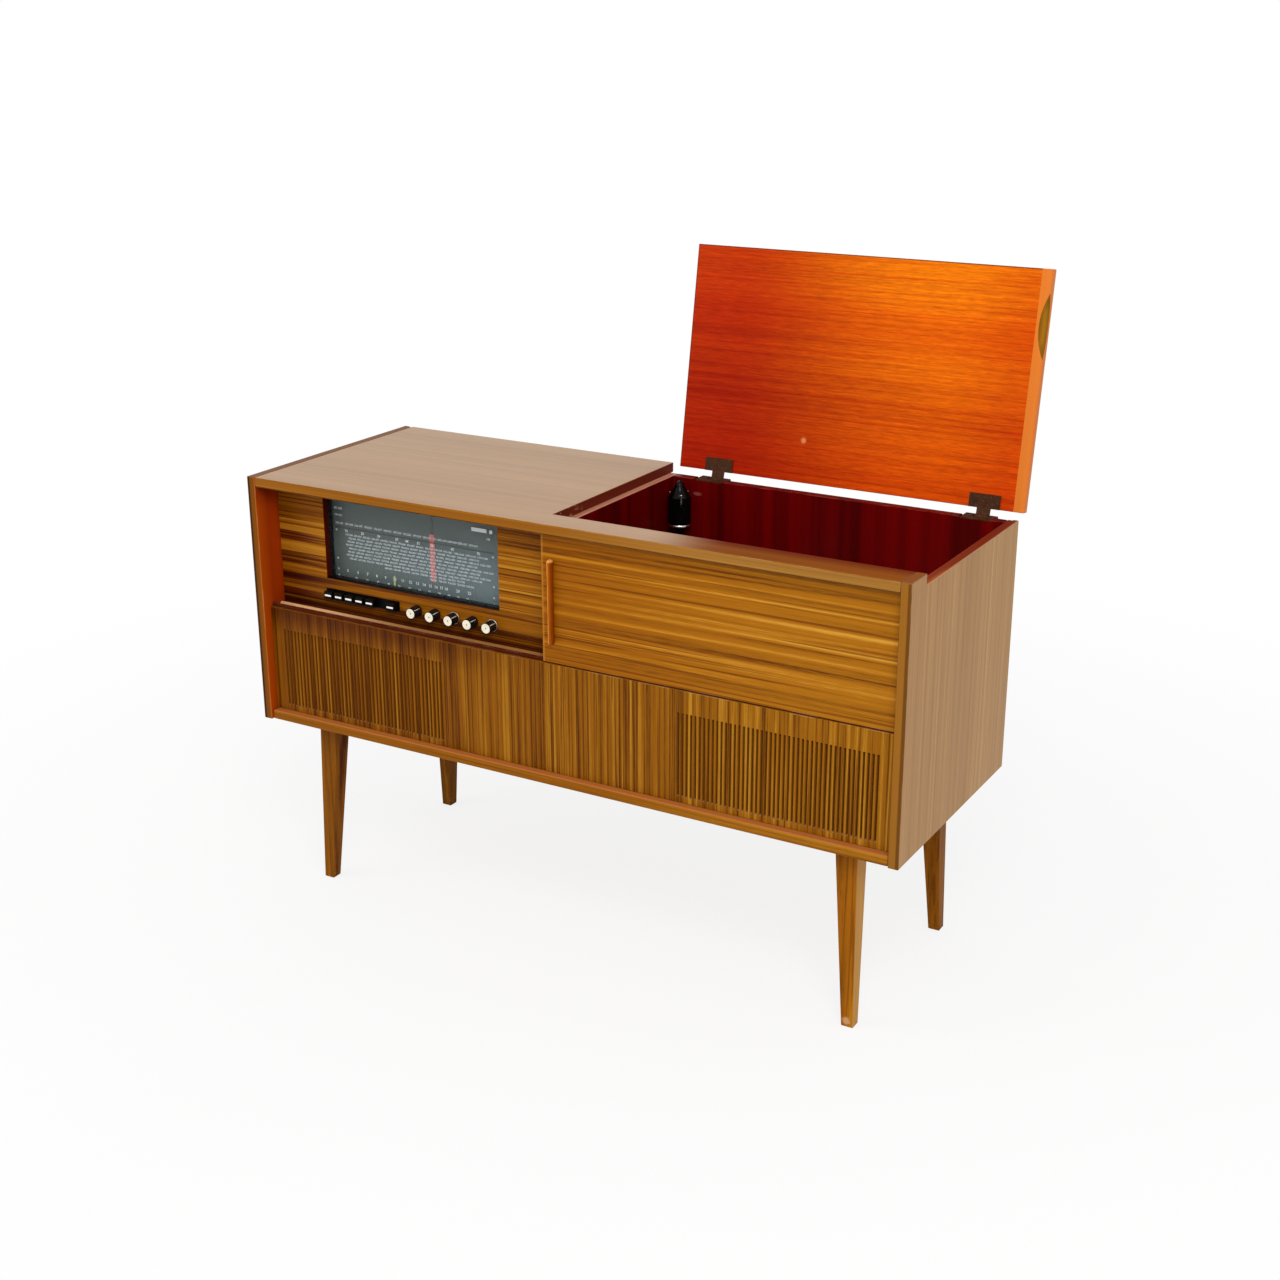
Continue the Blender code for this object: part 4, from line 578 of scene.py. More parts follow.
    def top_end(self, finish, x, y):
        """Red-brown with chips down to the bare wood near the front."""
        chips = finish.both(finish.spread(finish.noise(120.0, 4.0, 0.7), 0.55, 0.62),
                            finish.past(x, DIVIDER_HIGH.x, -0.004, -0.008))
        near = finish.past(y, TOP_LOW.y, 0.16, 0.06)
        return finish.stain(finish.both(chips, near), linear(TOP_END), colours().bare_wood, 0.8)

    def top_edge(self, finish, x, z, lines):
        """A front edge that pales to the right, with a painted shadow along its lower seam, and worn on its
        corners.
        """
        tone = colours()
        ground = finish.stain(finish.spread(x, -0.10, 0.35), linear(TOP_EDGE_LEFT), TOP_EDGE_RIGHT)
        edge = finish.times(ground, lines)
        # Painted shadow along the lower seam of the front edge
        edge = finish.stain(finish.past(z, TOP_LOW.z, 0.0024, 0.0014, 0.8), edge, tone.walnut_dark, 0.35)
        return worn_edges(finish, edge, TOP_LOW, TOP_HIGH, tone.bare_wood, 0.0012, 0.4)

    def worn_foot(self, name):
        """Scuff a leg's foot; the front right leg also gets painted light on its right face, and a bruise.
        """
        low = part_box(name)[0]

        def patina(finish, colour):
            tone = colours()
            near = finish.spread(finish.axes()[2], 0.030, 0.0)
            scuffs = finish.spread(finish.noise(210.0, 4.0, 0.7), 0.60, 0.70)
            colour = finish.stain(finish.both(near, scuffs), colour, tone.bare_wood)
            if name == "leg_front_right":
                # Painted light: the front right leg's right face, turned to the light, is paled
                lit_right_face = finish.axes(finish.add("TexCoord").outputs["Normal"])[0]
                colour = finish.stain(finish.spread(lit_right_face, 0.5, 0.9, 0.0, 0.75), colour, tone.side_light)
                bruise = finish.spot((low.x + 0.031, low.y, 0.010), 0.0055)
                colour = finish.stain(finish.both(bruise, 0.7), colour, tone.bare_wood, 0.9)
            return colour
        return patina

    def sides(self):
        """Both sides: walnut outside, painted pale with light, and red inside, with a step for the lid on
        the right one.
        """
        tone = colours()
        pale = (tone.side_dark, tone.side_mid, tone.side_light)
        for name, side, sheen in (("side_panel_left", -1.0, DULL), ("side_panel_right", 1.0, 0.5)):
            finish = Finish("walnut_" + name, specular=sheen)
            colour, figure, pores = wood_figure(finish, "Z", 9.0 + side, pale, stripe=0.6, bands=0.4,
                                                pitch=1.9)
            x, y, z = finish.axes()
            out = finish.both(x, side)
            front = finish.past(y, SIDE_LOW.y, 0.0012, 0.0006)
            colour = finish.mix(front, colour, self.side_front(finish, figure, out, side))
            head = finish.past(z, TOP_HIGH.z, -0.0010, -0.0006)
            colour = finish.stain(head, colour, tone.walnut_mid, 0.39)
            inner = finish.past(out, SIDE_HIGH.x, -0.0152, -0.0156)
            colour = finish.mix(inner, colour, self.side_inside(finish, y, z, side))
            if side > 0:
                colour = self.side_step(finish, colour, out, y, z)
            colour = worn_edges(finish, colour, *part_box(name), tone.bare_wood, share=0.4)
            wood_surface(finish, colour, figure, pores)
            if side > 0:
                finish.second(front, colour)
            dress(finish, name)

    def side_front(self, finish, figure, out, side):
        """A warm front edge with a dark outer rim; the left one is darker, but lit at its inner corner."""
        tone = colours()
        warm = finish.tones(figure, (0.3, tone.walnut_mid, 0.39), (0.75, tone.walnut_mid, 0.75))
        if side > 0:
            # The right front edge takes in some of the sides' painted paleness
            warm = finish.stain(0.5, warm, tone.side_mid, 0.72)
            return finish.stain(finish.past(out, SIDE_HIGH.x, -0.0060, -0.0040, 0.65), warm, RIGHT_RIM)
        warm = finish.shade(1.0, warm, 0.72, 0.64, 0.6)
        warm = finish.stain(finish.past(out, SIDE_HIGH.x, -0.0132, -0.0148, 0.6), warm, LEFT_LIT)
        return finish.stain(finish.past(out, SIDE_HIGH.x, -0.0060, -0.0040, 0.9), warm, LEFT_RIM)

    def side_inside(self, finish, y, z, side):
        """Well red on the right; on the left mahogany with painted light at its front and painted shade at
        its top.
        """
        tone = colours()
        stripes = finish.noise(60.0, 3.0, 0.5, finish.mapped(GRAIN["Z"]))
        if side > 0:
            return finish.tones(stripes, (0.3, tone.well_dark, 0.8), (0.7, tone.well_light))
        red = finish.tones(stripes, (0.3, tone.niche, 0.8), (0.7, tone.niche))
        # Painted light at the niche's front and painted shade at its top
        red = finish.stain(finish.past(y, SIDE_LOW.y, 0.030, 0.0, 0.4), red, NICHE_MOUTH_LIT)
        return finish.shade(finish.past(z, TOP_LOW.z, -0.045, 0.0), red, 0.62, 0.45, 0.9)

    def side_step(self, finish, colour, out, y, z):
        """The step that carries the lid: dark red, rubbed orange near the front, with a pale outer arris."""
        step = finish.both(finish.past(y, SIDE_LOW.y + STRIP_DEPTH, 0.0, 0.0004),
                           finish.past(z, DIVIDER_HIGH.z, -0.0011, -0.0005))
        rubbed = finish.spread(finish.noise(60.0, 3.0, 0.5, finish.mapped(PORE["Y"])), 0.4, 0.6)
        bright = finish.both(finish.past(y, SIDE_LOW.y, 0.17, 0.07), rubbed)
        orange = finish.stain(bright, linear(STEP_RED), colours().lid_edge, 0.5)
        orange = finish.stain(finish.past(out, SIDE_HIGH.x, -0.0024, -0.0010, 0.6), orange, STEP_ARRIS)
        return finish.mix(step, colour, orange)


class CONSOLE_OT_finish_well(bpy.types.Operator):
    """Finish the lid in red mahogany, the stained well, and the shelf and strips round the radio."""

    bl_idname = "console.finish_well"
    bl_label = "Finish lid and well"

    def execute(self, context):
        self.lid()
        self.well()
        self.ledge()
        return {"FINISHED"}

    def lid(self):
        """Orange-red mahogany inside, brown edges, light lipping on the right and laminate outside."""
        tone = colours()
        finish = Finish("lid_mahogany", specular=0.05)
        turn = Matrix.Rotation(LID_TURN, 3, "X")
        closed = finish.mapped(turn=(LID_TURN, 0.0, 0.0), move=HINGE - turn @ HINGE)
        tones = (tone.lid_dark, tone.lid_mid, tone.lid_light)
        colour, figure, pores = wood_figure(finish, "X", 12.4, tones, closed, stripe=0.8, bands=0.6,
                                            pitch=1.5)
        x, y, z = finish.axes(closed)
        colour = self.lid_glow(finish, colour, closed, x, y)
        rim = finish.math("MINIMUM", finish.math("SUBTRACT", x, LID_LEFT),
                          finish.math("SUBTRACT", y, LID_FRONT))
        colour = finish.stain(finish.spread(rim, 0.0026, 0.0010, 0.0, 0.8), colour, LID_RIM)
        colour = finish.stain(finish.past(y, LID_REAR, -0.0006, -0.0002, 0.9), colour, LID_RIM)
        soft = finish.noise(90.0, 3.0, 0.5, finish.mapped(GRAIN["Y"], vector=closed))
        lipping = finish.tones(soft, (0.3, tone.lid_edge, 0.86), (0.7, tone.lid_edge))
        colour = finish.mix(finish.past(x, SIDE_HIGH.x, -0.0166, -0.0158), colour, lipping)
        colour = finish.stain(finish.both(finish.spot(DENT, 0.0042, closed), 0.75), colour, LID_DENT)
        depth = finish.math("SUBTRACT", z, TOP_LOW.z)
        scoop = finish.both(finish.past(x, SIDE_HIGH.x, -0.016, -0.015),
                            finish.spread(depth, 0.0009, 0.0015))
        inside = finish.both(scoop, finish.past(x, SIDE_HIGH.x, -0.0002, -0.0005))
        colour = finish.mix(inside, colour, finish.tones(soft, (0.35, SCOOP_DARK), (0.65, SCOOP_LIGHT)))
        wood_surface(finish, colour, figure, pores, roughness=0.34)
        # The outer laminate also takes the painted sheen
        laminate = bleached(finish, wood_figure(finish, "X", 5.9, walnut_tones(), closed, **TOP_GRAIN)[0])
        finish.second(finish.spread(depth, 0.0142, 0.0146), laminate, 0.36, TOP_SHEEN)
        dress(finish, "lid")

    def lid_glow(self, finish, colour, closed, x, y):
        """Partly the mahogany's own tone, partly painted shade: redder and darker to the left and towards
        the hinges; dimmer on the right and in a belt, finely flecked.
        """
        # Partly painted shade: darker and redder to the left and towards the hinges
        colour = finish.shade(finish.spread(x, 0.40, 0.06), colour, 0.59, 0.18, 0.1)
        colour = finish.shade(finish.spread(x, 0.43, 0.56), colour, 0.85, 0.64, 0.6)
        colour = finish.shade(finish.spread(y, -0.30, 0.30), colour, 0.75, 0.22, 0.1)
        belt = finish.both(finish.spread(y, -0.150, -0.105), finish.spread(y, -0.035, -0.085))
        colour = finish.shade(belt, colour, 0.88, 0.66, 0.6)
        flecks = finish.noise(520.0, 3.0, 0.65, finish.mapped((0.09, 1.0, 1.0), vector=closed))
        light = finish.ramp(flecks, (0.32, (0.80, 0.70, 0.6, 1.0)), (0.68, (1.14, 1.2, 1.2, 1.0)))
        return finish.times(colour, light)

    def well(self):
        """Dark red stain with soft upright stripes, and a light ledge on the divider, worn and with a
        painted highlight.
        """
        tone = colours()
        for index, name in enumerate(("well_divider", "well_rear_wall", "well_front_wall", "motor_board")):
            finish = Finish("stain_" + name, specular=0.08)
            axis = "X" if name == "motor_board" else "Z"
            grain = finish.mapped(GRAIN[axis], (index * 0.3, index * 0.7, 0.0))
            fine = finish.noise(300.0, 2.0, 0.6, grain)
            figure = finish.weighed(finish.noise(30.0, 2.0, 0.5, grain), 0.8, fine)
            colour = finish.tones(figure, (0.34, tone.well_dark), (0.66, tone.well_light))
            if name == "well_divider":
                # The divider's ledge: pale wear and a painted highlight
                ledge = finish.past(finish.axes()[2], DIVIDER_HIGH.z, -0.0010, -0.0006)
                rubbed = finish.noise(70.0, 4.0, 0.6, finish.mapped(PORE["Y"]))
                rubbed = finish.tones(rubbed, (0.35, DIVIDER_WEAR_AND_HIGHLIGHT_DARK), (0.65, DIVIDER_WEAR_AND_HIGHLIGHT_LIGHT))
                colour = finish.mix(ledge, colour, rubbed)
            else:
                colour = worn_edges(finish, colour, *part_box(name), WELL_RUBBED, 0.0014, 0.6)
            if name == "well_rear_wall":
                drawn = 0.4
                middle = (drawn * SCRATCH[0], *SCRATCH[1:])
                scratch = finish.spot(middle, 0.0028, finish.mapped((drawn, 1.0, 1.0)))
                colour = finish.stain(finish.both(scratch, 0.6), colour, SCRATCH_PINK)
            wood_surface(finish, colour, figure, fine, roughness=0.3)
            dress(finish, name)

    def ledge(self):
        """The shelf and the two door rails in dark red-brown, and the strip with a light front edge, light
        wood with a painted highlight.
        """
        tone = colours()
        for name, (dark, light) in TRIM.items():
            finish = Finish("trim_" + name, specular=0.03)
            grain = finish.mapped(GRAIN["X"])
            figure = finish.noise(260.0, 3.0, 0.6, grain)
            pores = finish.noise(PORE_COUNT, 2.0, 0.6, grain)
            colour = finish.tones(figure, (0.3, dark), (0.7, light))
            low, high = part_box(name)
            if name == "ledge_strip":
                x, y, z = finish.axes()
                # The strip's front edge: light wood with a painted highlight, lighter towards its left end
                rubbed = finish.stain(finish.past(x, low.x, 0.30, 0.0), linear(tone.lipping, 0.8),
                                      tone.bare_wood, 1.2)
                colour = finish.mix(finish.past(y, low.y, 0.0050, 0.0035), colour, rubbed)
            colour = worn_edges(finish, colour, low, high, tone.bare_wood, share=0.2)
            wood_surface(finish, colour, figure, pores, roughness=0.34)
            dress(finish, name)


def plastic(name, colour, roughness=0.25, specular=0.5, grime=0.25):
    """Moulded plastic: even, with a faint skin texture, and dull where fingers or dust have been."""
    finish = Finish(name, roughness, specular)
    cloud = finish.noise(160.0, 3.0, 0.6)
    finish.paint(finish.stain(finish.spread(cloud, 0.35, 0.75, 0.0, grime), linear(colour), colour, 0.55))
    finish.set(Roughness=finish.spread(cloud, 0.3, 0.7, roughness - 0.06, roughness + 0.1))
    finish.bump(finish.noise(2600.0, 2.0), 0.06, 0.0001)
    return finish


def metal(name, colour, roughness=0.3, metallic=1.0, stretch=(1.0, 1.0, 1.0), stain=0.35):
    """Plated or turned metal: drawn lines along one way, cloudy with age."""
    finish = Finish(name, roughness, metallic=metallic)
    drawn = finish.noise(1400.0, 3.0, 0.6, finish.mapped(stretch))
    cloud = finish.spread(finish.noise(55.0, 4.0, 0.65), 0.4, 0.75)
    finish.paint(finish.stain(finish.both(cloud, stain), linear(colour), colour, 0.45))
    finish.set(Roughness=finish.spread(drawn, 0.3, 0.7, roughness - 0.08, roughness + 0.12))
    finish.bump(drawn, 0.12, 0.00012)
    return finish


def ring_finish(name, colour, centre, rings, metallic, roughness):
    """A turned surface with fine rings about an upright axis."""
    finish = Finish(name, roughness, metallic=metallic)
    flat = finish.mapped((1.0, 1.0, 0.0), (-centre.x, -centre.y, 0.0))
    radius = finish.add("VectorMath", {0: flat}, operation="LENGTH").outputs["Value"]
    lathe = finish.noise(rings, 3.0, 0.6, finish.add("CombineXYZ", {0: radius}).outputs[0])
    cloud = finish.spread(finish.noise(40.0, 4.0, 0.6), 0.35, 0.75, 0.0, 0.35)
    finish.paint(finish.stain(cloud, linear(colour), colour, 0.6))
    finish.set(Roughness=finish.spread(lathe, 0.3, 0.7, roughness - 0.07, roughness + 0.1))
    finish.bump(lathe, 0.15, 0.00012)
    return finish


# Drawn metal: how far its lines run along each axis
ALONG_X = (0.05, 1.0, 1.0)
ALONG_Y = (1.0, 0.05, 1.0)
ALONG_Z = (1.0, 1.0, 0.05)


class CONSOLE_OT_finish_works(bpy.types.Operator):
    """Finish the hinges, chassis, loudspeakers, cloth, back, dial and record deck."""

    bl_idname = "console.finish_works"
    bl_label = "Finish hardware and works"

    def execute(self, context):
        for side in ("left", "right"):
            self.leaf("lid_hinge_leaf_" + side)
            self.leaf("body_hinge_leaf_" + side)
        dress(metal("pin_steel", (0.72, 0.71, 0.68), 0.28, stretch=ALONG_X), "hinge_pin_left",
              "hinge_pin_right", "tonearm_gimbal")
        dress(metal("chassis_zinc", (0.66, 0.67, 0.66), 0.42, stretch=(0.1, 1.0, 1.0), stain=0.5),
              "radio_chassis", "drive_motor")
        dress(metal("transformer_iron", (0.30, 0.28, 0.26), 0.5, stretch=ALONG_Z, stain=0.6),
              "power_transformer")
        dress(metal("basket_grey", (0.45, 0.45, 0.44), 0.45, stretch=ALONG_Y), "speaker_left",
              "speaker_right")
        dress(plastic("bezel_black", BEZEL_BLACK, 0.3), "dial_bezel")
        dress(plastic("key_frame_black", KEY_BLACK, 0.4, DULL), "key_frame")
        dress(plastic("idler_rubber", (0.10, 0.095, 0.09), 0.7, 0.3, 0.4), "idler_wheel")
        self.deck()
        self.back()
        self.cloth()
        self.dial()
        return {"FINISHED"}

    def leaf(self, name):
        """Bronzed steel, rubbed brighter in patches."""
        finish = metal("bronze_" + name, colours().bronze, 0.5, 0.1, (1.0, 0.1, 1.0), 0.5)
        finish.set(**{"Specular IOR Level": 0.15})
        rub = finish.spread(finish.noise(300.0, 4.0, 0.65), 0.5, 0.75, 0.0, 0.4)
        finish.paint(finish.stain(rub, finish.painted(), BRONZE_RUBBED))
        dress(finish, name)

    def deck(self):
        """Grey enamel with a fine orange-peel skin and dust."""
        finish = Finish("deck_enamel", 0.35)
        dust = finish.noise(70.0, 5.0, 0.65)
        tone = colours().deck_enamel
        finish.paint(finish.tones(dust, (0.3, tone, 0.78), (0.7, tone)))
        finish.set(Roughness=finish.spread(dust, 0.3, 0.7, 0.26, 0.46))
        finish.bump(finish.noise(700.0, 2.0), 0.10, 0.0002)
        dress(finish, "deck_plate")

    def back(self):
        """Pressed hardboard: fibres and cloudy stains."""
        finish = Finish("hardboard", 0.8, 0.2)
        fibre = finish.noise(900.0, 4.0, 0.7, finish.mapped((0.3, 1.0, 1.0)))
        shade = finish.weighed(fibre, 0.55, finish.noise(14.0, 4.0, 0.6))
        tone = colours().hardboard
        finish.paint(finish.tones(shade, (0.32, tone, 0.55), (0.66, tone, 1.15)))
        finish.bump(fibre, 0.3, 0.0003)
        dress(finish, "back_panel")

    def cloth(self):
        """Dark brown cloth in a plain weave."""
        finish = Finish("speaker_cloth", 0.9, 0.1)
        threads = []
        for axis in ("X", "Z"):
            wave = finish.add("TexWave", {"Vector": finish.place, "Scale": 260.0, "Distortion": 0.6,
                                          "Detail": 1.0}, bands_direction=axis)
            threads.append(wave.outputs["Fac"])
        shade = finish.weighed(finish.both(*threads), 0.7, finish.noise(1800.0, 3.0))
        finish.paint(finish.ramp(shade, (0.15, (0.09, 0.037, 0.007, 1.0)),
                                 (0.85, (0.28, 0.125, 0.022, 1.0))))
        finish.bump(shade, 0.5, 0.0004)
        dress(finish, "grille_cloth")

    def dial(self):
        """Clear glass over a slate-coloured scale that pales towards the lower right."""
        glass = Finish("dial_clear_glass", 0.03)
        smear = glass.noise(30.0, 3.0, 0.5)
        glass.paint((0.30, 0.36, 0.36, 1.0))
        glass.set(Alpha=glass.spread(smear, 0.3, 0.8, 0.08, 0.12))
        glass.set(Roughness=glass.spread(smear, 0.4, 0.8, 0.015, 0.06))
        glass.bump(glass.noise(12.0, 1.0), 0.02, 0.0005)
        dress(glass, "dial_glass")
        scale = Finish("dial_slate", 0.45, 0.2)
        x, y, z = scale.axes()
        pale = scale.both(scale.spread(z, GLASS_HIGH.z, GLASS_LOW.z),
                          scale.spread(x, GLASS_LOW.x, GLASS_HIGH.x))
        speck = scale.noise(500.0, 3.0, 0.6)
        ground = scale.tones(speck, (0.3, colours().dial_ground, 0.86), (0.7, colours().dial_ground))
        scale.paint(scale.stain(scale.both(pale, 0.55), ground, DIAL_PALE))
        scale.bump(speck, 0.05, 0.0001)
        dress(scale, "dial_scale")


# Modelling: edges flatter than this are shaded smooth, and how a piece drawn along Z is turned
SMOOTH = math.radians(32)
TURNS = {"Z": (0.0, 0.0, 0.0), "-Y": (math.pi / 2, 0.0, 0.0), "X": (0.0, math.pi / 2, 0.0)}


def half_width(low, high):
    """Half the width of a box."""
    return (high.x - low.x) / 2


def foot_of(low, high):
    """The middle of a box's lower face."""
    return Vector(((low.x + high.x) / 2, (low.y + high.y) / 2, low.z))


def scaled(profile, radius, height):
    """Stations from shares of a radius and a height."""
    return [(radius * across, height * along) for across, along in profile]


def named(thing, name):
    """Name an object and its mesh."""
    thing.name = name
    thing.data.name = name
    return thing


def freeze():
    """Put the selected object's place, turn and size into its mesh."""
    bpy.ops.object.transform_apply(location=True, rotation=True, scale=True)


def all_faces():
    """Select every face of the piece in edit mode."""
    bpy.ops.mesh.select_mode(type="FACE")
    bpy.ops.mesh.select_all(action="SELECT")


def begin(name, kind, **settings):
    """Add a primitive, alone selected, ready to be shaped."""
    bpy.ops.object.select_all(action="DESELECT")
    getattr(bpy.ops.mesh, "primitive_" + kind + "_add")(**settings)
    made = named(bpy.context.object, name)
    freeze()
    bpy.ops.object.mode_set(mode="EDIT")
    all_faces()
    return made


def disc(name, sides, radius, height):
    """A flat disc across Z, ready to be drawn out."""
    return begin(name, "circle", vertices=sides, radius=radius, fill_type="NGON",
                 location=(0.0, 0.0, height))


def cube(name, low, high):
    """A plain block between two corners, ready to be shaped."""
    return begin(name, "cube", size=1.0, location=(Vector(low) + Vector(high)) / 2,
                 scale=Vector(high) - Vector(low))


def round_edges(edge, segments):
    """Round the edges of the selected faces."""
    bpy.ops.mesh.bevel(offset=edge, segments=segments, affect="EDGES")


def settle(made, centre=(0.0, 0.0, 0.0), turn=(0.0, 0.0, 0.0)):
    """Close a shaped piece, put its place into its mesh and shade it."""
    bpy.ops.mesh.select_all(action="SELECT")
    bpy.ops.mesh.remove_doubles(threshold=1e-6)
    bpy.ops.mesh.normals_make_consistent(inside=False)
    bpy.ops.object.mode_set(mode="OBJECT")
    made.rotation_euler = turn
    made.location = centre
    freeze()
    bpy.ops.object.shade_smooth_by_angle(angle=SMOOTH)
    return made


def draw_through(stations, radius, height):
    """Extrude the selected disc through (radius, height) stations along Z."""
    for next_radius, next_height in stations:
        bpy.ops.mesh.extrude_region_move(TRANSFORM_OT_translate={"value": (0.0, 0.0, next_height - height)})
        grow = next_radius / radius
        bpy.ops.transform.resize(value=(grow, grow, 1.0), center_override=(0.0, 0.0, next_height))
        radius, height = next_radius, next_height


def turned(name, stations, centre, axis, sides):
    """Turn a solid: a disc is drawn along its axis through (radius, height) stations."""
    made = disc(name, sides, *stations[0])
    draw_through(stations[1:], *stations[0])
    return settle(made, centre, TURNS[axis])


def block(name, low, high, edge, segments=3):
    """A block between two corners, with rounded edges."""
    made = cube(name, low, high)
    round_edges(edge, segments)
    return settle(made)


def pick_faces(made, test):
    """Select the faces of a piece in edit mode that pass a test."""
    body = bmesh.from_edit_mesh(made.data)
    for face in body.faces:
        face.select = False
    for face in body.faces:
        if test(face):
            face.select = True
    body.select_flush(True)
    bmesh.update_edit_mesh(made.data)


def pick_verts(made, test):
    """Select the corners of a piece in edit mode that pass a test."""
    bpy.ops.mesh.select_mode(type="VERT")
    bpy.ops.mesh.select_all(action="DESELECT")
    body = bmesh.from_edit_mesh(made.data)
    for vert in body.verts:
        vert.select = test(vert)
    body.select_flush(True)
    bmesh.update_edit_mesh(made.data)


def framed(name, low, high, edge, segments, border):
    """A block with rounded edges, its front face sunk a little inside a border."""
    made = cube(name, low, high)
    round_edges(edge, segments)
    pick_faces(made, lambda face: face.normal.y < -0.9 and face.calc_area() > 1e-5)
    bpy.ops.mesh.inset(thickness=border)
    bpy.ops.transform.translate(value=(0.0, 0.0004, 0.0))
    return settle(made)


def taper(made, test, shares, centre, edge):
    """Draw in the corners of a block that pass a test, then round its edges."""
    pick_verts(made, test)
    bpy.ops.transform.resize(value=shares, center_override=centre)
    all_faces()
    round_edges(edge, 4)


def alone(thing):
    """Select one object and make it active."""
    bpy.ops.object.select_all(action="DESELECT")
    thing.select_set(True)
    bpy.context.view_layer.objects.active = thing


def stand(thing, place, angle):
    """Turn a piece about Z and put it in its place."""
    alone(thing)
    thing.rotation_euler = (0.0, 0.0, angle)
    thing.location = place
    freeze()
    return thing


def copied(source, name, shift=(0.0, 0.0, 0.0)):
    """A copy of a piece, with its own mesh, moved."""
    alone(source)
    bpy.ops.object.duplicate()
    made = named(bpy.context.object, name)
    made.location = shift
    freeze()
    return made


def joined(pieces, name):
    """Several pieces as one object."""
    alone(pieces[0])
    for thing in pieces:
        thing.select_set(True)
    if len(pieces) > 1:
        bpy.ops.object.join()
    return named(bpy.context.object, name)


def discard(*things):
    """Throw away patterns and tools."""
    for thing in things:
        bpy.data.objects.remove(thing, do_unlink=True)


def cut_out(thing, *tools):
    """Cut shapes out of a piece, throw them away and shade the piece again."""
    alone(thing)
    for tool in tools:
        modifier = thing.modifiers.new("cut", "BOOLEAN")
        modifier.object = tool
        bpy.ops.object.modifier_apply(modifier="cut")
        discard(tool)
    bpy.ops.object.shade_smooth_by_angle(angle=SMOOTH)


def fit(thing, finish, body, slot, *nodes):
    """Finish a piece and let it ride on its body, in place of CAD nodes where it has any."""
    dress(finish, thing.name)
    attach(thing, body)
    if nodes:
        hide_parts(*nodes)


KNOBS = ("volume_knob", "bass_knob", "treble_knob", "fm_tuning_knob", "mw_tuning_knob")
COLLARED = ("treble_knob", "mw_tuning_knob")

# Where a knob's index line stands round its axis, and half its width; the line also paints the sleeve's
# highlight there
INDEX_ANGLE = math.radians(38)
INDEX_HALF = 0.0005

# How far a knob's back stands off the fascia
KNOB_BACK = 0.0006

# Radii of a knob's body and shaft beside its foot, of its cap beside the body, and of the dot beside the cap
BODY_SHARE = 0.925
SHAFT_SHARE = 0.3226
CAP_SHARE = 0.91
DOT_SHARE = 0.15

# A dished cap and the dot in its middle, a dark disc that paints the shade of the cap's dimple, as shares of
# their radius and of the cap's depth
CAP_PROFILE = ((1.0, 0.62), (0.97, 0.86), (0.90, 0.98), (0.82, 1.0), (0.74, 0.94), (0.5, 0.80), (0.21, 0.76),
               (0.18, 0.70), (0.16, 0.40), (0.02, 0.38))
DOT_PROFILE = ((1.0, 0.0), (1.0, 0.12), (0.7, 0.2), (0.1, 0.22))


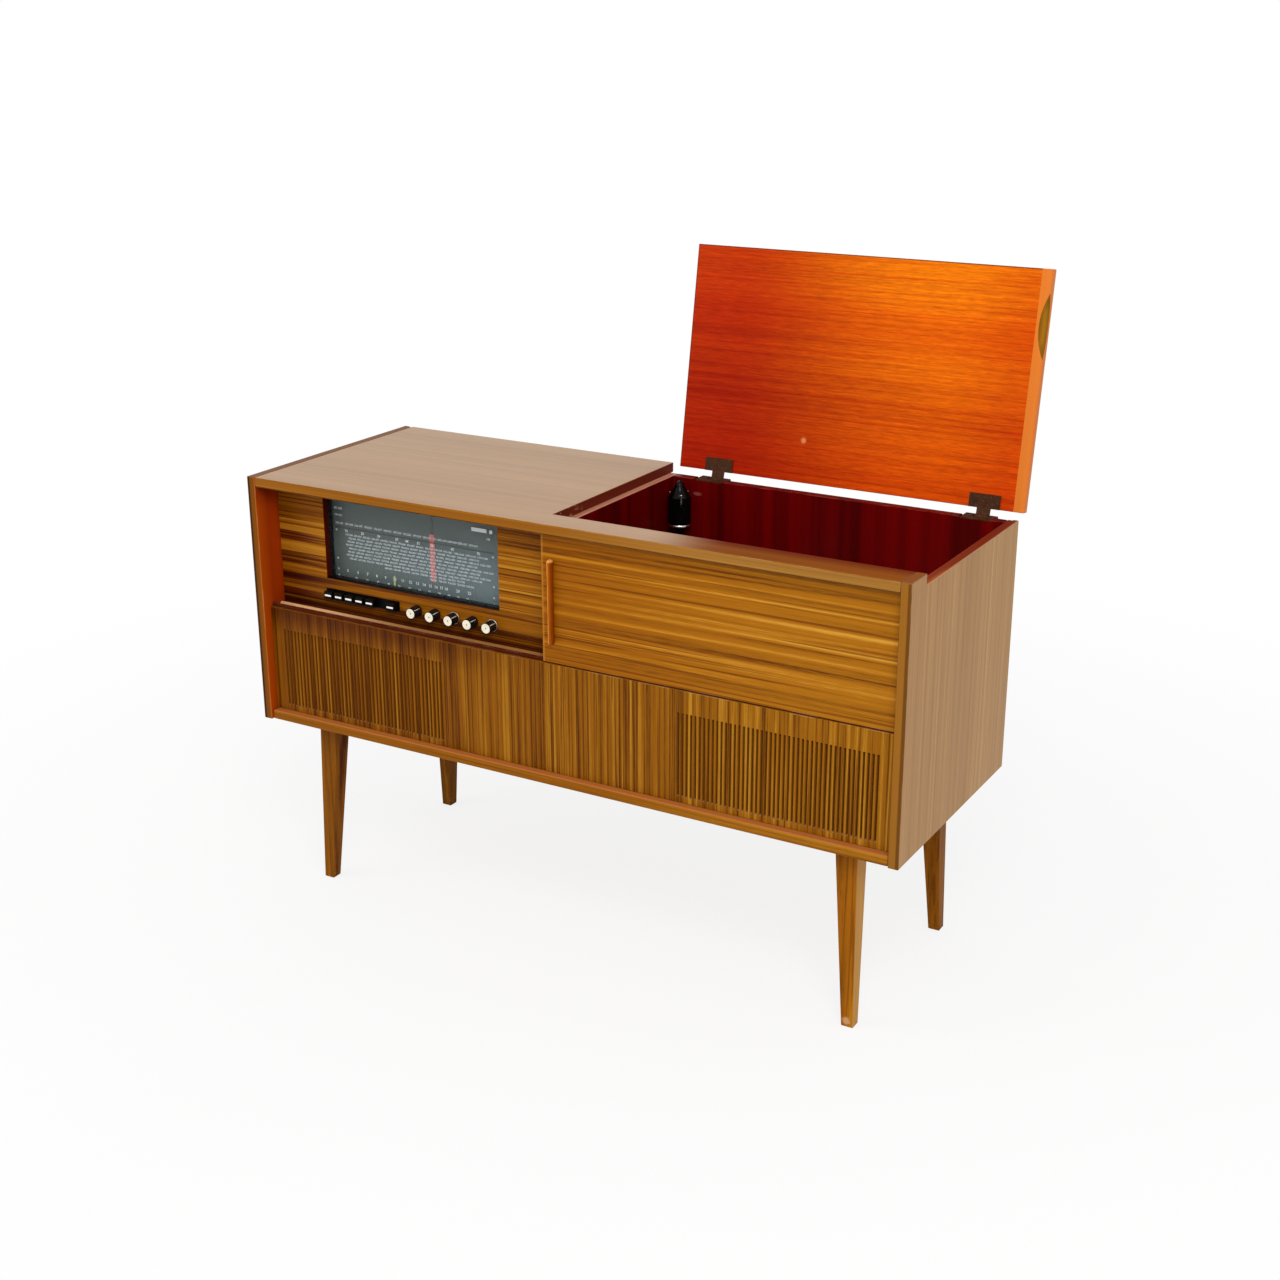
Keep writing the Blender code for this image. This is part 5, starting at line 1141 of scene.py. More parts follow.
class CONSOLE_OT_knobs(bpy.types.Operator):
    """Model the five knobs: fluted black sleeve, dished cream cap, index line that also paints a highlight,
    and a collar on two.
    """

    bl_idname = "console.knobs"
    bl_label = "Knobs"

    def execute(self, context):
        low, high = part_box(KNOBS[0])
        self.axis = Vector(((low.x + high.x) / 2, FASCIA_LOW.y, (low.z + high.z) / 2))
        self.reach = FASCIA_LOW.y - low.y
        self.foot = half_width(low, high)
        self.body = self.foot * BODY_SHARE
        sleeve = self.sleeve(high.y - FASCIA_LOW.y)
        cap, dot = self.cap()
        line = self.index()
        collar = self.collar()
        black = plastic("knob_black", KNOB_BLACK, 0.22)
        cream = plastic("knob_cream", colours().cream, 0.3, 0.4, 0.3)
        # The dot's dark brown paints the shade in the cap's dimple
        worn = plastic("knob_dimple_shade", (0.58, 0.52, 0.42), 0.5, 0.3)
        bright = metal("collar_aluminium", (0.72, 0.66, 0.60), 0.38)
        for name in KNOBS:
            shift = Vector((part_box(name)[0].x - low.x, 0.0, 0.0))
            fit(copied(sleeve, name + "_sleeve", shift), black, name, "black_plastic", name)
            fit(copied(cap, name + "_cap", shift), cream, name, "black_plastic")
            fit(copied(dot, name + "_dot", shift), worn, name, "black_plastic")
            fit(copied(line, name + "_index", shift), cream, name, "black_plastic")
            if name in COLLARED:
                fit(copied(collar, name + "_collar", shift), bright, name, "bright_steel")
        discard(sleeve, cap, dot, line, collar)
        return {"FINISHED"}

    def sleeve(self, tail):
        """A fluted sleeve that narrows to the front, hollowed for the cap, on its shaft."""
        size = sizes()
        foot, body = self.foot, self.body
        shaft = foot * SHAFT_SHARE
        front = self.reach - size.cap_depth * 0.45
        made = disc("knob_sleeve", size.knob_flutes * 4, foot, KNOB_BACK)
        pick_verts(made, lambda vert: vert.index % 4 in (0, 1))
        sunk = 1.0 - size.flute_depth / foot
        bpy.ops.transform.resize(value=(sunk, sunk, 1.0), center_override=(0.0, 0.0, KNOB_BACK))
        all_faces()
        draw_through(((foot, 0.0016), (foot * 0.985, 0.0022), (body, front - 0.0006), (body * 0.965, front),
                      (body * 0.93, front), (body * 0.93, front - 0.0005)), foot, KNOB_BACK)
        pick_faces(made, lambda face: len(face.verts) > 4 and face.calc_center_median().z < 0.001)
        draw_through(((shaft, KNOB_BACK), (shaft, 0.0002), (shaft, -tail)), foot, KNOB_BACK)
        return settle(made, self.axis, TURNS["-Y"])

    def ahead(self, distance):
        """A point on the knob's axis, so far before the fascia."""
        return self.axis - Vector((0.0, distance, 0.0))

    def cap(self):
        """A dished cap, and the dot in its middle, a dark disc that paints the shade of the cap's dimple."""
        radius = self.body * CAP_SHARE
        depth = sizes().cap_depth + 0.0002
        seat = self.reach - depth
        stations = [(radius * 0.9, 0.0), (radius, 0.0001), *scaled(CAP_PROFILE, radius, depth)]
        cap = turned("knob_cap", stations, self.ahead(seat), "-Y", 48)
        stations = scaled(DOT_PROFILE, radius * DOT_SHARE, depth)
        return cap, turned("knob_dot", stations, self.ahead(seat + depth * 0.42), "-Y", 24)

    def index(self):
        """A thin line along the sleeve: an index line that also paints the sleeve's highlight."""
        spot = self.axis + Vector((math.cos(INDEX_ANGLE), 0.0, math.sin(INDEX_ANGLE))) * self.body
        return block("knob_index", spot + Vector((-INDEX_HALF, 0.0022 - self.reach, -INDEX_HALF)),
                     spot + Vector((INDEX_HALF, -0.0036, INDEX_HALF)), 0.0002, 2)

    def collar(self):
        """A flat ring round the sleeve's foot."""
        inner = self.foot * 0.99
        outer = self.foot + sizes().collar_width
        stations = ((inner, 0.0), (outer, 0.0), (outer, 0.0007), (outer - 0.0004, 0.0011), (inner, 0.0011),
                    (inner, 0.0002))
        return turned("knob_collar", stations, self.ahead(0.0016), "-Y", 48)


class CONSOLE_OT_keys(bpy.types.Operator):
    """Model the six keys: black bodies with a framed front, and a white bar set in each."""

    bl_idname = "console.keys"
    bl_label = "Keys"

    def execute(self, context):
        black = plastic("key_black", KEY_BLACK, 0.35, DULL)
        white = plastic("key_white", colours().key_white, 0.3, 0.4, 0.15)
        first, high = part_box("key_1")
        front = Vector(first) + Vector((0.0, 0.0005, 0.0))
        middle = (front + high) / 2
        body = framed("key_body", front, high, 0.0011, 4, 0.0012)
        across = sizes().key_bar_width / 2
        up = sizes().key_bar_height / 2
        bar = block("key_bar", (middle.x - across, first.y, middle.z - up),
                    (middle.x + across, front.y + 0.0008, middle.z + up), 0.0005, 4)
        for number in range(1, 7):
            name = "key_" + str(number)
            shift = Vector((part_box(name)[0].x - first.x, 0.0, 0.0))
            fit(copied(body, name + "_body", shift), black, name, "black_plastic", name)
            fit(copied(bar, name + "_bar", shift), white, name, "black_plastic")
        discard(body, bar)
        return {"FINISHED"}


# The share of the door handle's depth that lies before its widest line
HANDLE_FRONT = 0.62


class CONSOLE_OT_door_handle(bpy.types.Operator):
    """Model the door's teak handle: a round-backed bar with domed ends and a flat foot on the door."""

    bl_idname = "console.door_handle"
    bl_label = "Door handle"

    def execute(self, context):
        low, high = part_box("door_handle")
        width = half_width(low, high)
        half = (high.z - low.z) / 2
        depth = high.y - low.y
        dome = []
        for step in range(7):
            turn = math.pi / 2 * (step / 6 * 0.94 + 0.06)
            dome.append((width * math.sin(turn), -half + 0.7 * width * (1.0 - math.cos(turn))))
        waist = [(width * (1.0 - 0.06 * (1.0 - share ** 2)), share * half)
                 for share in (-0.6, -0.3, 0.0, 0.3, 0.6)]
        crown = [(radius, -place) for radius, place in reversed(dome)]
        made = disc("door_handle_bar", 40, *dome[0])
        draw_through([*dome[1:], *waist, *crown], *dome[0])
        bpy.ops.mesh.select_all(action="SELECT")
        flat = depth * HANDLE_FRONT / width
        bpy.ops.transform.resize(value=(1.0, flat, 1.0), center_override=(0.0, 0.0, 0.0))
        bpy.ops.mesh.bisect(plane_co=(0.0, depth * (1.0 - HANDLE_FRONT), 0.0), plane_no=(0.0, 1.0, 0.0),
                            use_fill=True, clear_outer=True)
        settle(made, ((low.x + high.x) / 2, low.y + depth * HANDLE_FRONT, (low.z + high.z) / 2))
        fit(made, self.teak(low, high), "door", "teak_trim", "door_handle")
        return {"FINISHED"}

    def teak(self, low, high):
        """Oiled teak, with painted highlights on its left and its upper end, and painted shade along its
        right.
        """
        tone = colours()
        finish = Finish("handle_teak", specular=0.05)
        tones = ([0.62 * part for part in tone.teak], tone.teak, tone.walnut_light)
        colour, figure, pores = wood_figure(finish, "Z", 21.0, tones, stripe=0.7)
        x, y, z = finish.axes()
        patches = finish.spread(finish.noise(60.0, 3.0), 0.3, 0.6, 0.55, 0.95)
        # Painted highlights on the left edge and the upper end, painted shade along the right
        rubbed = finish.both(finish.past(x, low.x, 0.0048, 0.0028), patches)
        colour = finish.stain(rubbed, colour, HANDLE_LEFT_HIGHLIGHT)
        colour = finish.shade(finish.past(x, high.x, -0.0038, -0.0014), colour, 0.62, 0.46, 0.3)
        colour = finish.stain(finish.past(z, high.z, -0.0050, -0.0015, 0.8), colour, HANDLE_TOP_HIGHLIGHT)
        wood_surface(finish, colour, figure, pores)
        return finish


# The printed field behind the dial's glass: its left, right, lower and upper edges, and its plane
PRINT_LEFT = GLASS_LOW.x - 0.0009
PRINT_RIGHT = GLASS_HIGH.x - 0.0268
PRINT_FOOT = GLASS_LOW.z + 0.0016
PRINT_HEAD = GLASS_HIGH.z - 0.0193
PRINT_PLANE = GLASS_HIGH.y + 0.00008
PRINT_THICK = 0.00008

# Places on the dial are shares of the field from its left and upper edges, sizes shares of the print height.
# Close rows of paired numbers: first number, step, count, across, down, size
UPPER_ROWS = ((150, 6, 13, 0.035, 0.283, 1.1), (262, 5, 4, 0.66, 0.283, 1.1))
CLOSE_ROWS = [(515 + 17 * index, 43 - index, 15 - index % 2, 0.095 + 0.009 * (index * 5 % 3),
               0.418 + 0.0435 * index, 1.0) for index in range(8)]
LOWER_ROWS = ((640, 9, 9, 0.33, 0.765, 1.0), (700, 7, 5, 0.60, 0.808, 1.0))

# Single lines: text, across, down, size
SINGLE_LINES = (("87-108", 0.032, 0.095, 1.25), ("150-162", 0.032, 0.178, 1.0), ("162", 0.94, 0.17, 1.0))

# Plain bars: name, left end, right end, down, height in metres
BARS = (("label", 0.855, 0.942, 0.063, 0.0062), ("label_end", 0.958, 0.974, 0.066, 0.0056))

# Where the wave numbers over the rows stand along the dial, and the signs down both its edges
WAVE_PLACES = (0.10, 0.20, 0.30, 0.41, 0.47, 0.54, 0.62, 0.74, 0.89)
SIGN_PLACES = (0.375, 0.745, 0.885, 0.968)

# Scales of single numbers: first number, step, count, across, spacing, how it closes up, down, size
SCALES = ((5, 1, 14, 0.093, 0.0625, 0.00141, 0.896, 1.5), (20, 2, 2, 0.755, 0.067, 0.0, 0.896, 1.5),
          (30, 6, 12, 0.141, 0.068, 0.0007, 0.970, 1.15))


class CONSOLE_OT_dial_print(bpy.types.Operator):
    """Print the dial: close rows of plain numbers, scales of single numbers and a rule, behind the glass."""

    bl_idname = "console.dial_print"
    bl_label = "Dial print"

    def execute(self, context):
        tone = colours()
        rows = joined(self.close_rows(), "dial_rows")
        fit(rows, plastic("print_grey", tone.dial_rows, 0.5, 0.1, 0.3), "cabinet", "dial_slate")
        marks = joined(self.bright_marks(), "dial_marks")
        fit(marks, plastic("print_white", tone.dial_marks, 0.5, 0.1, 0.15), "cabinet", "dial_slate")
        rule = self.bar("dial_rule", 0.03, 0.985, 0.322, 0.0016)
        dark = [0.55 * part for part in tone.dial_ground]
        fit(rule, plastic("print_dark", dark, 0.5, 0.1, 0.2), "cabinet", "dial_slate")
        return {"FINISHED"}

    def close_rows(self):
        """Rows of paired plain numbers that climb along the dial."""
        rows = []
        for first, step, count, across, down, size in (*UPPER_ROWS, *CLOSE_ROWS, *LOWER_ROWS):
            numbers = [first + step * index + (index * index) % 7 for index in range(count)]
            pairs = [str(number) + "-" + str(number + 31) for number in numbers]
            rows.append(self.words("  ".join(pairs), across, down, size))
        return rows

    def bright_marks(self):
        """Single lines, a blank label, numbers over the rows, the scales, and signs down both edges."""
        marks = [self.words(*line) for line in SINGLE_LINES]
        marks += [self.bar(*bar) for bar in BARS]
        for step, across in enumerate(WAVE_PLACES):
            marks.append(self.words(str(16 + 7 * step), across - 0.008, 0.375, 1.35))
        for first, rise, count, across, spacing, closing, down, size in SCALES:
            for step in range(count):
                place = across + spacing * step - closing * step * (step - 1)
                marks.append(self.words(str(first + rise * step), place, down, size))
        for down in SIGN_PLACES:
            marks.append(self.words("o", 0.034, down, 1.6))
            marks.append(self.words("o", 0.968, down + 0.01, 1.6))
        return marks

    def bar(self, name, start, end, down, height):
        """A plain printed bar."""
        low = self.spot(start, down) - Vector((0.0, 0.0, height / 2))
        high = self.spot(end, down) + Vector((0.0, PRINT_THICK, height / 2))
        return block(name, low, high, 0.00003, 1)

    def spot(self, across, down):
        """A place on the dial."""
        return Vector((PRINT_LEFT + across * (PRINT_RIGHT - PRINT_LEFT), PRINT_PLANE,
                       PRINT_HEAD - down * (PRINT_HEAD - PRINT_FOOT)))

    def words(self, text, across, down, size):
        """One line of print."""
        bpy.ops.object.select_all(action="DESELECT")
        bpy.ops.object.text_add()
        letters = bpy.context.object.data
        letters.body = text
        letters.size = sizes().print_height * size
        letters.resolution_u = 1
        letters.offset = sizes().print_weight
        bpy.ops.object.convert(target="MESH")
        made = bpy.context.object
        made.rotation_euler = TURNS["-Y"]
        made.location = self.spot(across, down)
        freeze()
        return made


class CONSOLE_OT_pointers(bpy.types.Operator):
    """Model the two dial pointers: grooved thin bars, the red one with a neck, the yellow one with a tip."""

    bl_idname = "console.pointers"
    bl_label = "Dial pointers"

    def execute(self, context):
        tone = colours()
        low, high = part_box("mw_pointer")
        bar_top = low.z + 0.0785
        bar = framed("mw_bar", low, (high.x, high.y, bar_top), 0.0003, 2, 0.0011)
        middle = (low.x + high.x) / 2
        neck = block("mw_pointer_neck", (middle - 0.00125, low.y + 0.0003, bar_top - 0.0004),
                     (middle + 0.00125, high.y - 0.0003, high.z), 0.0003)
        self.fit_pointer([bar], "mw_pointer", "pointer_red", tone.pointer_red)
        fit(neck, plastic("pointer_neck", tone.dial_ground, 0.5, 0.1), "mw_pointer", "pointer_red")
        low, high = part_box("fm_pointer")
        bar = framed("fm_bar", low, (high.x, high.y, high.z - 0.0018), 0.0003, 2, 0.0007)
        seat = foot_of(low, high)
        seat.z = high.z - 0.0020
        tip = turned("fm_tip", ((0.00155, 0.0), (0.0012, 0.0007), (0.0002, 0.0018)), seat, "Z", 4)
        self.fit_pointer([bar, tip], "fm_pointer", "pointer_yellow", tone.pointer_yellow)
        return {"FINISHED"}

    def fit_pointer(self, pieces, node, slot, colour):
        """Join a pointer's pieces and finish it."""
        finish = plastic(node + "_enamel", colour, 0.4, 0.3, 0.3)
        fit(joined(pieces, node + "_bar"), finish, node, slot, node)


# The spindle's nose: radius and distance below the tip, both as shares of the spindle's radius
NOSE = ((1.0, 1.40), (0.985, 1.34), (0.93, 1.30), (0.86, 1.15), (0.70, 0.92), (0.55, 0.70), (0.47, 0.54),
        (0.42, 0.40), (0.38, 0.26), (0.32, 0.15), (0.25, 0.07), (0.18, 0.03), (0.02, 0.0))

# How high up the spindle its latches sit, as a share of its height, where round it the first one stands, in
# degrees, and half the size of a latch and of its slot
LATCH_HEIGHT = 0.61
LATCH_START = -52.0
LATCH_HALF = Vector((0.0012, 0.0014, 0.0085))
SLOT_HALF = Vector((0.003, 0.0022, 0.012))

# The holder: radius as a share of its ring, and height above its foot or above the ring's upper face
HOLDER_FOOT = ((0.87, 0.0), (0.894, 0.0006), (0.894, 0.0032), (0.85, 0.0040), (0.48, 0.0044), (0.42, 0.0062))
HOLDER_HEAD = ((0.42, -0.0062), (0.5, -0.0042), (0.97, -0.0036), (1.0, -0.0028), (1.0, -0.0012),
               (0.965, 0.0), (0.21, 0.0), (0.21, 0.0112), (0.17, 0.0120))


class CONSOLE_OT_stacking_spindle(bpy.types.Operator):
    """Model the black stacking spindle with its steel latches, and the bright holder under it."""

    bl_idname = "console.stacking_spindle"
    bl_label = "Stacking spindle"

    def execute(self, context):
        low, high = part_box("stacking_spindle")
        radius = half_width(low, high)
        height = high.z - low.z
        foot = foot_of(low, high)
        stations = [(radius - 0.0009, 0.0), (radius - 0.0003, 0.0003), (radius, 0.0010)]
        stations += [(share * radius, height - drop * radius) for share, drop in NOSE]
        spindle = turned("stacking_spindle_body", stations, foot, "Z", 56)
        slots = []
        latches = []
        for step in range(3):
            turn = math.radians(LATCH_START + 120.0 * step)
            out = Vector((math.cos(turn), math.sin(turn), 0.0))
            centre = foot + Vector((0.0, 0.0, LATCH_HEIGHT * height))
            slot = block("latch_slot", -SLOT_HALF, SLOT_HALF, 0.0006, 2)
            slots.append(stand(slot, centre + out * radius, turn))
            latch = block("latch", -LATCH_HALF, LATCH_HALF, 0.0007)
            latches.append(stand(latch, centre + out * (radius - 0.0018), turn))
        cut_out(spindle, *slots)
        gloss = plastic("spindle_black", (0.02, 0.02, 0.022), 0.14, 0.1, 0.3)
        fit(spindle, gloss, "cabinet", "black_plastic", "stacking_spindle")
        steel = metal("latch_steel", BRIGHT_STEEL, 0.2)
        fit(joined(latches, "spindle_latches"), steel, "cabinet", "bright_steel")
        self.holder()
        return {"FINISHED"}

    def holder(self):
        """A turned foot, post and dished ring, dark below the ring."""
        low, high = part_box("spindle_holder")
        foot = foot_of(low, high)
        ring = half_width(low, high)
        top = high.z - low.z - 0.012
        stations = [(ring * share, up) for share, up in HOLDER_FOOT]
        stations += [(ring * share, top + up) for share, up in HOLDER_HEAD]
        steel = metal("holder_steel", BRIGHT_STEEL, 0.2)
        shaded = steel.past(steel.axes()[2], foot.z + top, -0.0030, -0.0055)
        steel.paint(steel.stain(shaded, steel.painted(), HOLDER_SHADE))
        post = turned("spindle_holder_post", stations, foot, "Z", 56)
        fit(post, steel, "cabinet", "bright_steel", "spindle_holder")


# Radii of the platter's pin, bearing and mat label, its rim's width and height, and its roof's thickness
PIN = 0.0036
BEARING = 0.0070
LABEL = 0.046
RIM_WIDTH = 0.010
RIM_HEIGHT = 0.016
ROOF = 0.003

# The platter's edge: how far inside its radius, and how far above the rim's lower edge or below the top
RIM_FOOT = ((0.0012, 0.0), (0.0003, 0.0008), (0.0003, 0.0040), (0.0012, 0.0046), (0.0012, 0.0070),
            (0.0003, 0.0076))
RIM_HEAD = ((0.0, 0.0022), (0.0004, 0.0006), (0.0014, 0.0))


class CONSOLE_OT_platter(bpy.types.Operator):
    """Model the turned platter and its ribbed rubber mat."""

    bl_idname = "console.platter"
    bl_label = "Platter and mat"

    def execute(self, context):
        low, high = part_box("platter")
        centre = foot_of(low, high)
        mat_low, mat_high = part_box("platter_mat")
        radius = half_width(low, high)
        top = mat_low.z - low.z - 0.0003
        base = top - RIM_HEIGHT
        roof = top - ROOF
        tip = high.z - low.z
        stations = [(0.0062, 0.0), (BEARING, 0.0008), (BEARING, roof), (radius - RIM_WIDTH, roof),
                    (radius - RIM_WIDTH, base)]
        stations += [(radius - inside, base + up) for inside, up in RIM_FOOT]
        stations += [(radius - inside, top - down) for inside, down in RIM_HEAD]
        stations += [(PIN, top), (PIN, tip - PIN), (0.8 * PIN, tip - 0.5 * PIN),
                     (0.5 * PIN, tip - 0.15 * PIN), (0.05 * PIN, tip)]
        lathe = ring_finish("platter_aluminium", (0.80, 0.80, 0.79), centre, 900.0, 1.0, 0.3)
        platter = turned("platter_disc", stations, centre, "Z", 128)
        fit(platter, lathe, "platter", "turned_aluminium", "platter")
        self.mat(centre, mat_low, mat_high)
        return {"FINISHED"}

    def mat(self, centre, low, high):
        """A mat with raised rings round a plain label area."""
        radius = half_width(low, high)
        thick = high.z - low.z
        dip = thick - 0.0009
        bore = PIN + 0.0005
        count = sizes().mat_ribs
        pitch = (radius - LABEL) / count
        stations = [(bore, 0.0), (radius - 0.0006, 0.0), (radius, 0.0008), (radius, thick - 0.0008),
                    (radius - 0.0006, thick)]
        for index in range(count):
            outer = radius - pitch * index
            stations += [(outer - 0.45 * pitch, thick), (outer - 0.55 * pitch, dip),
                         (outer - 0.88 * pitch, dip), (outer - 0.98 * pitch, thick)]
        stations += [(LABEL - 0.006, dip), (0.014, dip), (0.013, thick), (bore, thick)]
        made = turned("platter_mat_rings", stations, Vector((centre.x, centre.y, low.z)), "Z", 112)
        rubber = ring_finish("mat_rubber", (0.13, 0.13, 0.13), centre, 500.0, 0.0, 0.6)
        fit(made, rubber, "platter", "rubber", "platter_mat")


# The tonearm's weight and tube: radii, the weight's length, and how far the tube and the head reach forward
WEIGHT = 0.011
WEIGHT_LENGTH = 0.024
TUBE = 0.004
TUBE_REACH = 0.186
HEAD_REACH = 0.208
HEAD_TURN = math.radians(-20.0)


class CONSOLE_OT_tonearm(bpy.types.Operator):
    """Model the tonearm: tube, head with cartridge, stylus and finger lift, and a ringed weight."""

    bl_idname = "console.tonearm"
    bl_label = "Tonearm"

    def execute(self, context):
        pivot = Vector(JOINTS["arm_lift"]["pos_m"])
        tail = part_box("tonearm")[1].y - pivot.y
        start = tail - WEIGHT_LENGTH
        ring = 0.94 * WEIGHT
        stations = [(0.6 * WEIGHT, -tail), (0.93 * WEIGHT, 0.0007 - tail), (WEIGHT, 0.0020 - tail)]
        for index in range(4):
            place = 0.0040 * (index + 1) - tail
            stations += [(WEIGHT, place), (ring, place + 0.0004), (ring, place + 0.0012),
                         (WEIGHT, place + 0.0016)]
        stations += [(WEIGHT, -start - 0.0016), (0.9 * WEIGHT, -start), (TUBE, -start),
                     (TUBE, TUBE_REACH - 0.02), (0.92 * TUBE, TUBE_REACH), (0.3 * TUBE, TUBE_REACH + 0.001)]
        arm = turned("arm_tube", stations, pivot, "-Y", 40)
        ears = half_width(*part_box("tonearm_gimbal"))
        stations = ((0.0012, -ears), (0.0016, 0.0004 - ears), (0.0016, ears - 0.0004), (0.0012, ears))
        pin = turned("arm_pin", stations, pivot, "X", 24)
        satin = metal("arm_satin", (0.78, 0.78, 0.76), 0.3, stretch=ALONG_Y)
        fit(joined([arm, pin], "tonearm_tube"), satin, "arm", "arm_aluminium", "tonearm")
        self.head(pivot - Vector((0.0, HEAD_REACH, 0.0)))
        return {"FINISHED"}

    def head(self, middle):
        """A tapered shell turned towards the record, with its cartridge below and a lift at the side."""
        shell = cube("head_shell", (-0.009, -0.022, -0.010), (0.009, 0.022, 0.002))
        taper(shell, lambda vert: vert.co.y < 0.0, (0.72, 1.0, 0.75), (0.0, 0.0, 0.001), 0.0018)
        settle(shell, middle, (0.0, 0.0, HEAD_TURN))
        cartridge = block("cartridge", (-0.0055, -0.018, -0.0098), (0.0055, 0.004, -0.0058), 0.0006, 2)
        point = ((0.0006, 0.0), (0.0005, -0.0003), (0.0001, -0.0004))
        stylus = turned("stylus", point, (0.0, -0.013, -0.0096), "Z", 12)
        lift = block("finger_lift", (0.0070, -0.016, -0.0015), (0.0098, -0.006, -0.0005), 0.0004, 2)
        placed = [stand(thing, middle, HEAD_TURN) for thing in (cartridge, stylus, lift)]
        black = plastic("head_black", (0.06, 0.06, 0.065), 0.3)
        fit(joined([shell, *placed], "tonearm_head"), black, "arm", "black_plastic")


class CONSOLE_OT_speed_selector(bpy.types.Operator):
    """Model the speed selector: a turned skirt with a pinched grip and a white index line."""

    bl_idname = "console.speed_selector"
    bl_label = "Speed selector"

    def execute(self, context):
        low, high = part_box("speed_selector")
        radius = half_width(low, high)
        height = high.z - low.z
        foot = foot_of(low, high)
        lip = height / 3
        middle = (height + lip) / 2
        stations = ((radius - 0.0005, 0.0), (radius, 0.0006), (radius, lip - 0.0014),
                    (radius - 0.0008, lip - 0.0004), (radius - 0.0018, lip), (0.5 * radius, lip))
        skirt = turned("selector_skirt", stations, foot, "Z", 56)
        grip = begin("selector_grip", "cube", size=1.0, location=(0.0, 0.0, middle),
                     scale=(radius / 2, 1.7 * radius, height - lip + 0.0006))
        taper(grip, lambda vert: vert.co.z > middle, (0.62, 0.94, 1.0), (0.0, 0.0, height), 0.0012)
        settle(grip, foot)
        black = plastic("selector_black", BEZEL_BLACK, 0.28)
        knob = joined([skirt, grip], "speed_selector_knob")
        fit(knob, black, "selector", "black_plastic", "speed_selector")
        line = block("speed_selector_line", foot + Vector((-INDEX_HALF, -0.8 * radius, height - 0.0003)),
                     foot + Vector((INDEX_HALF, -0.35 * radius, height)), 0.0001, 1)
        fit(line, plastic("selector_white", colours().key_white, 0.4), "selector", "black_plastic")
        return {"FINISHED"}


# Hinge screws are let in: their heads stand this share of their height above the leaves, which fold together
LET_IN = Matrix.Scale(0.1, 4, Vector((0.0, 0.0, 1.0)))

# The closed lid leaf's lower face and the line of its screws, how deep the body leaf's face lies in the rear
# wall, and how far a hinge's two screws stand from its middle
LID_LEAF_FACE = TOP_LOW.z - 0.0018
LID_LEAF_LINE = TOP_HIGH.y - 0.014
BODY_LEAF_DEPTH = 0.0016
LID_SCREW_SHIFTS = (-0.015, 0.015)
BODY_SCREW_SHIFTS = (-0.018, 0.018)

# How far the back panel's screws stand from its edge
BACK_INSET = 0.010


class CONSOLE_OT_screws(bpy.types.Operator):
    """Model the slotted screws that hold the hinge leaves and the back panel."""

    bl_idname = "console.screws"
    bl_label = "Screws"

    def execute(self, context):
        radius = sizes().screw_radius
        dome = 0.42 * radius
        stations = [(0.9 * radius, -0.0002), (radius, 0.0)]
        for step in range(1, 7):
            turn = math.pi / 2 * step / 6 * 0.97
            stations.append((radius * math.cos(turn), dome * math.sin(turn)))
        self.screw = turned("screw", stations, (0.0, 0.0, 0.0), "Z", 28)
        cut_out(self.screw, block("slot", (-1.2 * radius, -0.14 * radius, 0.35 * dome),
                                  (1.2 * radius, 0.14 * radius, 2.0 * dome), 0.0001, 1))
        steel = metal("screw_bronze", (0.11, 0.08, 0.06), 0.35, 0.4)
        zinc = metal("screw_zinc", (0.62, 0.60, 0.55), 0.35)
        for side in ("left", "right"):
            lid = joined(self.lid_screws(side), "lid_hinge_screws_" + side)
            fit(lid, steel, "lid", "dark_bronze")
            body = joined(self.body_screws(side), "body_hinge_screws_" + side)
            fit(body, steel, "cabinet", "dark_bronze")
        fit(joined(self.back_screws(), "back_panel_screws"), zinc, "cabinet", "bright_steel")
        discard(self.screw)
        return {"FINISHED"}

    def place(self, name, matrix):
        """A copy of the screw, carried by a matrix."""
        made = copied(self.screw, name)
        made.matrix_world = matrix
        freeze()
        return made

    def lid_screws(self, side):
        """Two screws through the leaf on the lid's inner face, drawn closed and opened with the lid."""
        middle = foot_of(*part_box("lid_hinge_leaf_" + side)).x
        opened = Matrix.Translation(HINGE) @ Matrix.Rotation(-LID_TURN, 4, "X") @ Matrix.Translation(-HINGE)
        down = Matrix.Rotation(math.pi, 4, "X")
        screws = []
        for shift in LID_SCREW_SHIFTS:
            spot = Matrix.Translation((middle + shift, LID_LEAF_LINE, LID_LEAF_FACE)) @ down
            turn = Matrix.Rotation(0.6 + 20.0 * shift, 4, "Z")
            screws.append(self.place("lid_screw", opened @ spot @ turn @ LET_IN))
        return screws

    def body_screws(self, side):
        """Two screws through the leaf let into the rear wall."""
        middle = foot_of(*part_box("body_hinge_leaf_" + side)).x
        low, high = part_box("well_rear_wall")
        screws = []
        for shift in BODY_SCREW_SHIFTS:
            spot = Matrix.Translation((middle + shift, (low.y + high.y) / 2, high.z - BODY_LEAF_DEPTH))
            screws.append(self.place("body_screw", spot @ LET_IN))
        return screws

    def back_screws(self):
        """Screws round the edge of the back panel."""
        low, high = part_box("back_panel")
        left, right = low.x + BACK_INSET, high.x - BACK_INSET
        bottom, top = low.z + BACK_INSET, high.z - BACK_INSET
        spots = [(left + step / 6 * (right - left), z) for step in range(7) for z in (bottom, top)]
        spots += [(x, (low.z + high.z) / 2) for x in (left, right)]
        screws = []
        for index, (x, z) in enumerate(spots):
            spot = Matrix.Translation((x, high.y, z)) @ Matrix.Rotation(-math.pi / 2, 4, "X")
            screws.append(self.place("back_screw", spot @ Matrix.Rotation(0.9 * index, 4, "Z")))
        return screws


